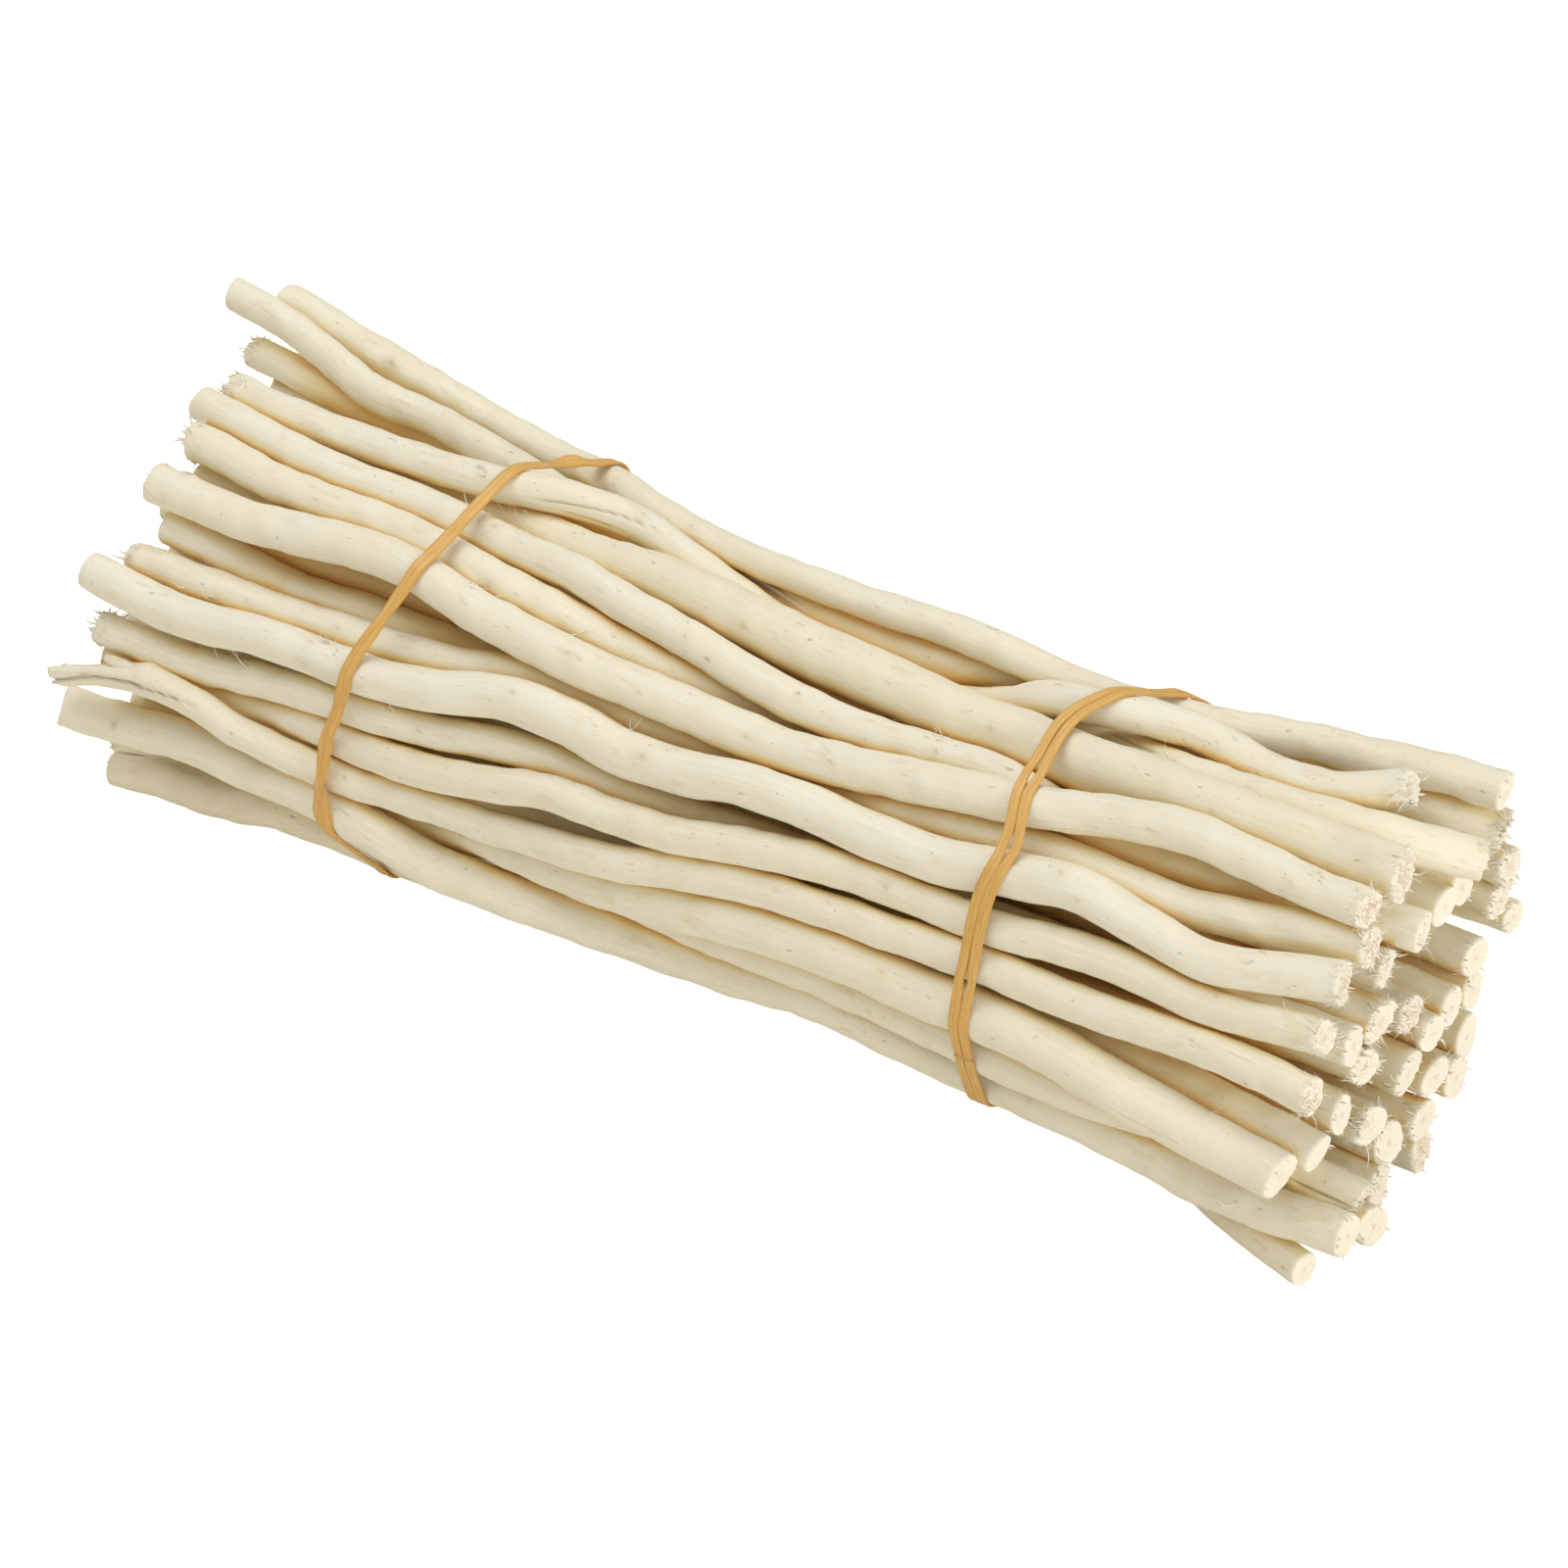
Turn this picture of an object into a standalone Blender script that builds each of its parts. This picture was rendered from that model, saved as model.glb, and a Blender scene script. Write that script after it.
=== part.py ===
"""A bundle of peeled, wavy twigs held by two rubber bands, lying on a floor.

Frame: metres, +X along the twigs towards the cut ends that face the viewer, Y across the
bundle, Z up, floor at z = 0. Every twig and each band is its own object. The centre lines of
the twigs that can be seen are points read by hand in the photograph and set back into the
bundle through the photograph's camera. The hidden twigs fill what is left. A relaxation then
moves the twigs apart until each pair has its gap.
"""

import math

import bpy
import numpy as np
from mathutils import Matrix, Vector

MM = 0.001

# driving sizes, in millimetres
TWIG_LENGTH = 400.0
BUNDLE_ACROSS = 116.0
BUNDLE_DEEP = 98.0
BUNDLE_CENTRE_HEIGHT = 57.5
GAP = 0.32
FLOOR_CLEARANCE = 1.45
STATION_STEP = 20.0
STATION_COUNT = 23
HIDDEN_END_SETBACK = 5.0
HELD_ROUNDS = 110
FREE_ROUNDS = 300
GAP_SLACK = 0.055

# the rubber bands
BAND_THICKNESS = 1.0
BAND_CLEARANCE = 0.4
BAND_FLAT = 0.12
LEFT_BAND_WIDTH = 4.2
RIGHT_STRAND_WIDTH = 3.0
RIGHT_STRAND_OFFSET = 1.66
CROSSING_RISE = 1.35
CROSSING_ANGLE = math.radians(20.0)
CROSSING_SPREAD = math.radians(26.0)

# the photograph's camera
VIEW_AZIMUTH = math.radians(35.0)
VIEW_ELEVATION = math.radians(34.0)
VIEW_DISTANCE = 2400.0
PIXELS_PER_MM = 3.84
PICTURE_CENTRE = (800.0, 800.0)
SEEN_LEFT_END = 300.0
SEEN_RIGHT_END = 1290.0
BUNDLE_CENTRE_PIXEL = (793.0, 795.0)

# Each seen twig: diameters at its left end, middle and right end in millimetres, then the
# pixels of its centre line, each with its depth in millimetres below the bundle's outside.
SEEN_TWIGS = {
    "twig_01": (
        (9.5, 9.2, 11.0),
        (
            (292, 301, 12), (336, 331, 12), (387, 360, 12), (430, 385, 12), (475, 412, 13),
            (520, 440, 14), (570, 470, 14), (620, 500, 13), (660, 521, 10), (700, 543, 7),
            (760, 570, 5), (802, 587, 5), (854, 605, 5), (900, 622, 5), (951, 639, 5),
            (1000, 655, 6), (1033, 670, 6), (1074, 688, 7), (1110, 705, 9), (1160, 721, 12),
            (1215, 736, 11), (1261, 745, 10), (1302, 752, 9), (1353, 762, 8),
            (1404, 775, 8), (1447, 785, 8), (1500, 797, 9), (1538, 808, 10),
        ),
    ),
    "twig_02": (
        (9.2, 9.0, 10.0),
        (
            (239, 298, 2), (281, 322, 2), (318, 346, 2), (362, 387, 2), (387, 406, 2),
            (430, 421, 3), (460, 436, 3), (500, 457, 3), (530, 470, 4), (560, 484, 6),
            (600, 500, 9), (1493, 905, 30),
        ),
    ),
    "twig_03": (
        (9.0, 10.0, 11.0),
        (
            (262, 360, 19), (300, 378, 19), (340, 398, 20), (380, 416, 21), (430, 440, 23),
            (480, 460, 26), (1541, 886, 34),
        ),
    ),
    "twig_04": (
        (9.0, 10.0, 12.0),
        (
            (283, 396, 28), (330, 412, 29), (380, 430, 30), (430, 450, 33), (1531, 917, 42),
        ),
    ),
    "twig_05": (
        (9.5, 9.5, 9.5),
        (
            (242, 395, 3), (275, 418, 3), (336, 438, 3), (387, 457, 3), (430, 472, 2),
            (450, 478, 2), (500, 494, 2), (560, 508, 4), (600, 518, 6), (650, 533, 9),
            (690, 552, 12), (830, 650, 22), (985, 728, 24), (1040, 718, 15), (1070, 715, 7),
            (1100, 718, 2), (1120, 722, 2),
            (1150, 733, 1), (1200, 745, 1), (1231, 757, 1), (1251, 770, 1), (1277, 784, 1),
            (1302, 796, 1), (1333, 806, 1), (1366, 811, 1), (1400, 813, 1), (1437, 817, 1),
        ),
    ),
    "twig_06": (
        (9.0, 9.5, 11.0),
        (
            (430, 500, 42), (600, 562, 36), (765, 589, 13), (800, 610, 11), (850, 635, 10),
            (900, 655, 10), (950, 674, 11), (1000, 687, 14), (1040, 699, 19), (1110, 722, 26),
            (1270, 762, 27), (1333, 782, 25), (1390, 797, 23), (1450, 820, 21),
            (1500, 836, 20), (1537, 846, 20),
        ),
    ),
    "twig_07": (
        (9.5, 10.0, 11.0),
        (
            (430, 490, 26), (620, 560, 26), (840, 640, 24), (1010, 712, 20), (1130, 755, 6),
            (1164, 764, 4), (1200, 779, 3), (1240, 796, 3), (1280, 808, 3),
            (1320, 822, 4), (1351, 831, 5), (1400, 842, 7), (1450, 860, 9), (1510, 878, 11),
        ),
    ),
    "twig_08": (
        (8.4, 15.8, 14.5),
        (
            (515, 530, 9), (560, 548, 6), (600, 567, 3), (650, 582, 1), (700, 602, 0),
            (761, 631, 0), (807, 655, 0), (874, 684, 0), (925, 706, 0), (982, 733, 0),
            (1041, 754, 0), (1100, 778, 0), (1164, 797, 0), (1200, 810, 0), (1256, 829, 0),
            (1300, 845, 0), (1351, 866, 0), (1400, 883, 0), (1433, 893, 0),
        ),
    ),
    "twig_09": (
        (10.4, 10.6, 11.0),
        (
            (206, 408, 0), (234, 425, 0), (260, 443, 0), (311, 466, 0), (336, 480, 0),
            (387, 499, 0), (430, 515, 0), (465, 531, 0), (489, 545, 0), (517, 557, 0),
            (553, 573, 0), (586, 585, 0), (625, 607, 0), (663, 633, 0), (689, 644, 1),
            (730, 668, 1), (764, 690, 2), (802, 713, 2), (850, 733, 3), (892, 751, 3),
            (946, 767, 3), (1000, 785, 4), (1045, 801, 7), (1140, 865, 15), (1260, 905, 15),
            (1452, 955, 26),
        ),
    ),
    "twig_10": (
        (10.6, 11.0, 11.0),
        (
            (198, 449, 2), (234, 464, 2), (260, 482, 2), (311, 505, 2), (362, 523, 2),
            (400, 537, 2), (430, 552, 2), (470, 571, 2), (500, 588, 2), (525, 602, 2),
            (560, 619, 3), (600, 642, 4), (640, 663, 5), (700, 692, 6), (780, 724, 10),
            (940, 800, 17), (1090, 868, 15), (1170, 900, 16), (1417, 983, 20),
        ),
    ),
    "twig_11": (
        (11.4, 12.0, 10.6),
        (
            (158, 492, 0), (196, 508, 0), (234, 526, 0), (272, 536, 0), (311, 547, 0),
            (336, 556, 0), (362, 560, 0), (387, 564, 0), (413, 574, 0), (430, 583, 0),
            (470, 612, 0), (520, 641, 0), (560, 662, 0), (600, 682, 0), (631, 696, 0),
            (663, 708, 0), (700, 722, 0), (723, 733, 0), (751, 748, 0), (777, 758, 0),
            (802, 768, 0), (828, 776, 0), (880, 786, 0), (923, 795, 0), (951, 803, 0),
            (1000, 812, 0), (1033, 820, 0), (1075, 828, 0), (1100, 831, 0), (1141, 836, 0),
            (1180, 843, 0), (1225, 853, 0), (1256, 864, 0), (1282, 878, 0), (1320, 897, 0),
            (1356, 913, 0), (1397, 929, 0),
        ),
    ),
    "twig_12": (
        (9.5, 11.0, 12.0),
        (
            (206, 485, 12), (240, 497, 12), (272, 510, 13), (1478, 919, 22),
        ),
    ),
    "twig_13": (
        (11.0, 11.5, 13.0),
        (
            (173, 533, 8), (210, 556, 8), (247, 577, 8), (285, 598, 8), (321, 611, 8),
            (362, 622, 8), (402, 634, 9), (432, 650, 10), (473, 663, 12), (1409, 1044, 28),
        ),
    ),
    "twig_14": (
        (9.0, 10.0, 11.0),
        (
            (183, 561, 24), (1506, 978, 50),
        ),
    ),
    "twig_15": (
        (10.4, 10.6, 11.0),
        (
            (137, 571, 6), (165, 580, 6), (196, 591, 6), (224, 602, 6), (252, 612, 6),
            (290, 627, 6), (330, 640, 6), (372, 652, 6), (420, 668, 6), (460, 678, 5),
            (500, 684, 5), (540, 690, 5), (580, 703, 5), (620, 720, 5), (660, 738, 6),
            (700, 755, 7), (780, 788, 9), (850, 812, 6), (900, 825, 4), (951, 838, 3),
            (1000, 850, 3), (1035, 860, 3), (1075, 872, 3), (1110, 885, 3), (1150, 902, 3),
            (1205, 925, 3), (1243, 934, 3), (1300, 942, 3), (1350, 952, 3), (1400, 965, 3),
        ),
    ),
    "twig_16": (
        (11.0, 13.0, 11.6),
        (
            (91, 579, 0), (117, 594, 0), (137, 604, 0), (157, 616, 0), (188, 632, 0),
            (216, 638, 0), (247, 645, 0), (275, 652, 0), (305, 662, 0), (340, 676, 0),
            (391, 695, 0), (420, 701, 0), (458, 709, 0), (497, 712, 0), (535, 716, 0),
            (553, 724, 0), (576, 734, 0), (602, 748, 0), (625, 762, 0), (663, 780, 0),
            (700, 790, 0), (731, 794, 0), (769, 802, 0), (800, 813, 0), (828, 824, 0),
            (859, 838, 0), (900, 857, 0), (931, 868, 0), (977, 884, 0), (1010, 891, 0),
            (1040, 895, 0), (1077, 900, 0), (1102, 907, 0), (1128, 920, 0), (1154, 936, 0),
            (1180, 952, 0), (1205, 968, 0), (1223, 979, 0), (1246, 986, 0), (1277, 992, 0),
            (1320, 996, 0), (1373, 1000, 0),
        ),
    ),
    "twig_17": (
        (9.6, 9.6, 11.0),
        (
            (104, 640, 3), (130, 650, 3), (157, 662, 3), (190, 676, 3), (216, 684, 3),
            (252, 691, 3), (290, 702, 3), (336, 714, 3), (381, 730, 3), (417, 742, 3),
            (458, 750, 3), (500, 757, 3), (550, 770, 4), (600, 790, 5), (650, 812, 6),
            (700, 830, 8), (1382, 1067, 24),
        ),
    ),
    "twig_18": (
        (10.0, 10.4, 10.2),
        (
            (114, 669, 6), (160, 690, 6), (210, 705, 6), (250, 717, 5), (285, 731, 4),
            (326, 747, 3), (360, 764, 2), (400, 778, 1), (448, 792, 0), (500, 801, 0),
            (541, 804, 0), (567, 811, 0), (600, 822, 0), (631, 835, 0), (660, 846, 0),
            (700, 857, 0), (738, 863, 0), (770, 866, 0), (800, 871, 0), (828, 879, 0),
            (859, 889, 0), (900, 901, 0), (950, 922, 0), (985, 938, 0), (1018, 949, 0),
            (1051, 958, 0), (1077, 964, 0), (1103, 970, 0), (1133, 981, 0), (1159, 992, 0),
            (1180, 1004, 0), (1205, 1015, 0), (1231, 1026, 0), (1256, 1034, 0),
            (1300, 1045, 0), (1353, 1057, 0),
        ),
    ),
    "twig_19": (
        (8.4, 9.8, 10.0),
        (
            (56, 690, 0), (104, 690, 0), (140, 692, 0), (183, 705, 0), (215, 722, 0),
            (247, 744, 0), (285, 763, 0), (321, 780, 0), (345, 790, 0), (387, 803, 0),
            (430, 818, 0), (475, 835, 0), (520, 850, 0), (564, 863, 0), (600, 876, 0),
            (640, 884, 0), (682, 888, 0), (708, 892, 0), (751, 900, 0), (774, 907, 0),
            (800, 914, 0), (828, 923, 0), (859, 934, 0), (900, 949, 0), (951, 966, 0),
            (981, 979, 0), (1013, 988, 0), (1046, 1002, 0), (1085, 1019, 0), (1123, 1031, 0),
            (1149, 1042, 0), (1180, 1052, 0), (1210, 1062, 0), (1246, 1075, 0),
            (1290, 1095, 0), (1340, 1121, 0),
        ),
    ),
    "twig_20": (
        (10.6, 13.2, 13.4),
        (
            (143, 716, 10), (183, 730, 10), (215, 745, 9), (240, 758, 8), (285, 780, 7),
            (330, 802, 6), (400, 827, 4), (450, 843, 3), (500, 860, 2), (550, 878, 2),
            (600, 896, 1), (640, 910, 0), (700, 927, 0), (751, 940, 0), (800, 955, 0),
            (841, 969, 0), (874, 982, 0), (900, 995, 0), (951, 1016, 0), (977, 1028, 0),
            (1000, 1036, 0), (1026, 1045, 0), (1051, 1057, 0), (1075, 1071, 0),
            (1100, 1086, 0), (1133, 1105, 0), (1164, 1124, 0), (1205, 1146, 0),
            (1246, 1168, 0), (1277, 1185, 0), (1307, 1202, 0),
        ),
    ),
    "twig_21": (
        (11.4, 11.6, 11.6),
        (
            (63, 720, 0), (106, 732, 0), (145, 744, 0), (183, 754, 0), (215, 764, 0),
            (250, 782, 0), (285, 796, 0), (321, 810, 0), (345, 822, 0), (387, 845, 1),
            (430, 866, 2), (448, 876, 3), (500, 897, 4), (551, 918, 5), (600, 938, 6),
            (656, 959, 7), (700, 975, 8), (738, 991, 8), (774, 1001, 8), (800, 1008, 8),
            (828, 1016, 8), (859, 1030, 8), (900, 1050, 8), (926, 1063, 8), (956, 1077, 8),
            (982, 1090, 7), (1020, 1105, 6), (1051, 1118, 5), (1100, 1138, 4),
            (1154, 1163, 3), (1200, 1187, 1), (1240, 1207, 0), (1282, 1225, 0),
            (1330, 1243, 1), (1376, 1261, 1),
        ),
    ),
    "twig_22": (
        (10.0, 10.4, 11.5),
        (
            (123, 760, 16), (700, 953, 5), (751, 968, 5), (800, 983, 5), (859, 1006, 5),
            (900, 1025, 5), (940, 1043, 5), (976, 1060, 5), (1020, 1082, 4), (1051, 1097, 4),
            (1080, 1112, 4), (1110, 1127, 5), (1150, 1146, 7), (1386, 1233, 16),
        ),
    ),
    "twig_23": (
        (11.4, 10.6, 9.2),
        (
            (117, 785, 4), (145, 788, 4), (173, 796, 4), (200, 805, 4), (240, 820, 4),
            (285, 827, 4), (316, 834, 6), (350, 846, 9), (387, 858, 12), (560, 912, 20),
            (800, 996, 20), (1000, 1083, 18), (1140, 1150, 10), (1220, 1210, 0),
            (1240, 1230, -3), (1270, 1253, -5), (1300, 1278, -6), (1330, 1300, -6),
        ),
    ),
    "twig_24": (
        (10.0, 10.0, 10.6),
        (
            (1300, 1160, 12), (1342, 1187, 12),
        ),
    ),
    "twig_25": (
        (10.0, 11.0, 10.0),
        (
            (310, 567, 15), (331, 576, 15), (370, 591, 15), (413, 606, 16), (800, 755, 30),
            (1240, 900, 34),
        ),
    ),
}

# Each hidden twig: its diameter and the pixel of its cut end among the right-hand ends.
HIDDEN_TWIGS = {
    "twig_26": (9.5, (1543, 942)),
    "twig_27": (11.0, (1503, 1011)),
    "twig_28": (11.0, (1440, 1034)),
    "twig_29": (11.5, (1478, 1037)),
    "twig_30": (13.6, (1498, 1057)),
    "twig_31": (10.6, (1391, 1095)),
    "twig_32": (13.0, (1440, 1090)),
    "twig_33": (11.6, (1468, 1093)),
    "twig_34": (11.0, (1483, 1108)),
    "twig_35": (10.6, (1371, 1134)),
    "twig_36": (12.6, (1397, 1154)),
    "twig_37": (12.4, (1455, 1139)),
    "twig_38": (11.6, (1450, 1177)),
    "twig_39": (11.6, (1414, 1177)),
    "twig_40": (11.0, (1410, 1205)),
    "twig_41": (11.0, (1402, 1252)),
    "twig_42": (10.4, (1460, 1062)),
}

# Twigs whose ends stay out of sight: diameter, then place across and deep in millimetres.
BACK_TWIGS = {
    "twig_43": (11.5, (42.0, -14.0)),
    "twig_44": (11.0, (28.0, -34.0)),
    "twig_45": (12.0, (-4.0, -31.0)),
    "twig_46": (11.5, (-22.0, -44.0)),
    "twig_47": (12.0, (-40.0, -33.0)),
    "twig_48": (11.0, (-42.0, -12.0)),
    "twig_49": (11.0, (26.0, -8.0)),
    "twig_50": (11.5, (12.0, -46.0)),
}

# Paths of the two bands over the seen side, in pixels.
LEFT_BAND_PATH = (
    (612, 480), (590, 472), (548, 478), (520, 492), (500, 508), (475, 536), (455, 560),
    (440, 581), (420, 607), (400, 634), (375, 668), (350, 705), (338, 724), (333, 745),
    (328, 775), (322, 800), (320, 820), (327, 835), (350, 848), (392, 869),
)
RIGHT_BAND_PATH = (
    (1210, 725), (1185, 717), (1150, 713), (1125, 715), (1100, 735), (1080, 757),
    (1062, 790), (1045, 820), (1030, 855), (1015, 890), (1003, 925), (996, 960), (990, 1000),
    (984, 1040), (988, 1070), (995, 1105), (1006, 1128),
)

RIGHT = np.array([math.cos(VIEW_AZIMUTH), math.sin(VIEW_AZIMUTH), 0.0])
BACK = np.array([
    math.sin(VIEW_AZIMUTH) * math.cos(VIEW_ELEVATION),
    -math.cos(VIEW_AZIMUTH) * math.cos(VIEW_ELEVATION),
    math.sin(VIEW_ELEVATION),
])
UP = np.cross(BACK, RIGHT)
FOCAL = PIXELS_PER_MM * VIEW_DISTANCE
CENTRE = np.array([0.0, 0.0, BUNDLE_CENTRE_HEIGHT])

# The cross-section's own axes as the viewer sees them: ACROSS runs up the picture and DEEP
# runs towards the viewer, both square to the bundle.
_along = np.array([1.0, 0.0, 0.0])
DEEP = BACK - _along * BACK[0]
DEEP = DEEP / math.sqrt(float((DEEP * DEEP).sum()))
ACROSS = np.cross(DEEP, _along)
if ACROSS[2] < 0.0:
    ACROSS = -ACROSS


def camera_place():
    """The camera's place, from where the bundle's centre shows in the picture."""
    across = (PICTURE_CENTRE[0] - BUNDLE_CENTRE_PIXEL[0]) / PIXELS_PER_MM
    down = (PICTURE_CENTRE[1] - BUNDLE_CENTRE_PIXEL[1]) / PIXELS_PER_MM
    return CENTRE + RIGHT * across - UP * down + BACK * VIEW_DISTANCE


CAMERA = camera_place()


def ray(pixel):
    """The direction in which the camera sees a pixel."""
    across = (pixel[0] - PICTURE_CENTRE[0]) / FOCAL
    down = (pixel[1] - PICTURE_CENTRE[1]) / FOCAL
    return RIGHT * across - UP * down - BACK


def section(point):
    """A point as (x, across, deep)."""
    offset = point - CENTRE
    return np.array([
        point[0],
        float((offset * ACROSS).sum()),
        float((offset * DEEP).sum()),
    ])


def at_deep(pixel, deep):
    """Where a pixel's ray meets the plane at one depth of the section."""
    direction = ray(pixel)
    fall = float((direction * DEEP).sum())
    reach = (deep - float(((CAMERA - CENTRE) * DEEP).sum())) / fall
    return section(CAMERA + direction * reach)


def at_x(pixel, x):
    """Where a pixel's ray meets the plane square to the twigs at x."""
    direction = ray(pixel)
    reach = (x - CAMERA[0]) / direction[0]
    return section(CAMERA + direction * reach)


def outside(across):
    """The depth of the bundle's seen side at one place across it."""
    share = min(abs(across) / (0.5 * BUNDLE_ACROSS), 0.995)
    return 0.5 * BUNDLE_DEEP * math.sqrt(1.0 - share * share)


def on_bundle(pixel, below, radius):
    """Where a pixel's ray meets a layer so far below the bundle's seen side."""
    place = at_deep(pixel, 0.0)
    for _ in range(4):
        place = at_deep(pixel, outside(place[1]) - radius - below)
    return place


def picture_along(x, across, deep):
    """How far along the bundle's line in the picture a place shows, in pixels."""
    point = CENTRE + ACROSS * across + DEEP * deep
    offset = np.array([x, point[1], point[2]]) - CAMERA
    away = -float((offset * BACK).sum())
    right = FOCAL * float((offset * RIGHT).sum()) / away
    down = -FOCAL * float((offset * UP).sum()) / away
    slope = math.hypot(RIGHT[0], UP[0])
    return (right * RIGHT[0] - down * UP[0]) / slope


def pixel_along(pixel):
    """The same measure for a pixel."""
    slope = math.hypot(RIGHT[0], UP[0])
    right = pixel[0] - PICTURE_CENTRE[0]
    down = pixel[1] - PICTURE_CENTRE[1]
    return (right * RIGHT[0] - down * UP[0]) / slope


STATIONS = (np.arange(STATION_COUNT) - (STATION_COUNT - 1) / 2.0) * STATION_STEP
HALF = 0.5 * TWIG_LENGTH


def radius_line(diameters):
    """A twig's radius at each station, from its diameters at left, middle and right."""
    places = np.array([-HALF, 0.0, HALF])
    return 0.5 * np.interp(STATIONS, places, np.array(diameters))


def seen_line(diameters, trace):
    """A seen twig's target places at the stations, and how firmly each is held."""
    radius = 0.5 * sum(diameters) / 3.0
    places = np.array([on_bundle(point[:2], point[2], radius) for point in trace])
    if places[-1, 0] > 0.75 * HALF:
        end = at_x(trace[-1][:2], HALF - HIDDEN_END_SETBACK)
        if trace[-1][2] > 9.5:
            places[-1] = end
    places = places[np.argsort(places[:, 0])]
    across = np.interp(STATIONS, places[:, 0], places[:, 1])
    deep = np.interp(STATIONS, places[:, 0], places[:, 2])
    firm = np.zeros(STATION_COUNT)
    for index, station in enumerate(STATIONS):
        after = int(np.searchsorted(places[:, 0], station))
        if after == 0 or after == len(places):
            firm[index] = 0.5 if abs(station) > 0.9 * HALF else 0.0
        elif places[after, 0] - places[after - 1, 0] < 2.2 * STATION_STEP:
            firm[index] = 1.0
    return across, deep, firm


def wander(number, size):
    """A gentle wave along a hidden twig, its phase set by the twig's number."""
    first = np.sin(STATIONS / 46.0 + 2.4 * number)
    second = np.sin(STATIONS / 27.0 + 1.7 * number + 0.6)
    return size * (0.65 * first + 0.35 * second)


def collect():
    """All twigs: names, radii, target places, firmness and which are hidden."""
    names, radii, across, deep, firm, hidden = [], [], [], [], [], []
    for name, (diameters, trace) in SEEN_TWIGS.items():
        line = seen_line(diameters, trace)
        names.append(name)
        radii.append(radius_line(diameters))
        across.append(line[0])
        deep.append(line[1])
        firm.append(line[2])
        hidden.append(len(trace) < 4)
    for name, (diameter, pixel) in HIDDEN_TWIGS.items():
        number = len(names)
        end = at_x(pixel, HALF - HIDDEN_END_SETBACK)
        names.append(name)
        radii.append(radius_line((0.94 * diameter, diameter, diameter)))
        narrow = np.interp(STATIONS, np.array([-HALF, 0.0, HALF]), np.array([1.0, 0.88, 1.0]))
        across.append(end[1] * narrow + wander(number, 3.0))
        deep.append(end[2] * narrow + wander(number + 5, 3.0))
        firm.append(np.where(STATIONS > 0.93 * HALF, 0.6, 0.0))
        hidden.append(True)
    for name, (diameter, place) in BACK_TWIGS.items():
        number = len(names)
        names.append(name)
        radii.append(radius_line((diameter, diameter, diameter)))
        across.append(place[0] + wander(number, 3.0))
        deep.append(place[1] + wander(number + 3, 3.0))
        firm.append(np.zeros(STATION_COUNT))
        hidden.append(True)
    target = np.stack([np.array(across), np.array(deep)], axis=-1)
    return names, np.array(radii), target, np.array(firm), np.array(hidden)


def tilt_factor(places):
    """How much wider a leaning twig's square section is than the twig itself."""
    step = np.diff(places, axis=1) / STATION_STEP
    slope = np.sqrt((step * step).sum(axis=-1))
    return np.sqrt(1.0 + slope * slope)


def straighten(places, hidden):
    """Hidden twigs are straight between every second station, and carry moves across."""
    odd = np.arange(1, STATION_COUNT - 1, 2)
    middle = 0.5 * (places[:, odd - 1] + places[:, odd + 1])
    off = np.where(hidden[:, None, None], places[:, odd] - middle, 0.0)
    places[:, odd - 1] += 0.5 * off
    places[:, odd + 1] += 0.5 * off
    middle = 0.5 * (places[:, odd - 1] + places[:, odd + 1])
    places[:, odd] = np.where(hidden[:, None, None], middle, places[:, odd])
    return places


def pushes(places, radii, give, gap):
    """One round of moves that part every pair that is closer than its gap."""
    reach = np.maximum(radii[:, 1:], radii[:, :-1]) * tilt_factor(places)
    apart0 = places[None, :, :-1] - places[:, None, :-1]
    apart1 = places[None, :, 1:] - places[:, None, 1:]
    change = apart1 - apart0
    length = np.maximum((change * change).sum(axis=-1), 1e-9)
    share = np.clip(-(apart0 * change).sum(axis=-1) / length, 0.0, 1.0)
    nearest = apart0 + share[..., None] * change
    distance = np.maximum(np.sqrt((nearest * nearest).sum(axis=-1)), 1e-6)
    short = np.maximum(reach[:, None] + reach[None] + gap - distance, 0.0)
    own = np.arange(len(places))
    short[own, own] = 0.0
    way = nearest / distance[..., None]
    both = (give[:, None] + give[None])[:, :, None]
    total = (both * way * way).sum(axis=-1)
    size = (short / np.maximum(total, 1e-6))[..., None] * way * give[:, None, None]
    norm = share * share + (1.0 - share) * (1.0 - share)
    move = np.zeros_like(places)
    count = np.zeros(places.shape[:2])
    for start, stop, weight in ((0, -1, 1.0 - share), (1, None, share)):
        move[:, start:stop] -= ((weight / norm)[..., None] * size).sum(axis=1)
        count[:, start:stop] += ((short > 0.0) * weight).sum(axis=1)
    return move / np.maximum(count, 1.0)[..., None], float(short.max())


def lift(places, radii):
    """Moves that keep every twig above the floor."""
    factor = tilt_factor(places)
    wide = np.maximum(
        np.concatenate([factor[:, :1], factor], axis=1),
        np.concatenate([factor, factor[:, -1:]], axis=1),
    )
    height = BUNDLE_CENTRE_HEIGHT + places[..., 0] * ACROSS[2] + places[..., 1] * DEEP[2]
    short = np.maximum(radii * wide + FLOOR_CLEARANCE - height, 0.0)
    return short[..., None] * np.array([ACROSS[2], DEEP[2]])


def smooth(field):
    """A field's pull towards the mean of its neighbours along each twig."""
    inner = 0.5 * (field[:, 2:] + field[:, :-2]) - field[:, 1:-1]
    return np.concatenate([
        0.5 * (field[:, 1:2] - field[:, :1]), inner, 0.5 * (field[:, -2:-1] - field[:, -1:]),
    ], axis=1)


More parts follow.
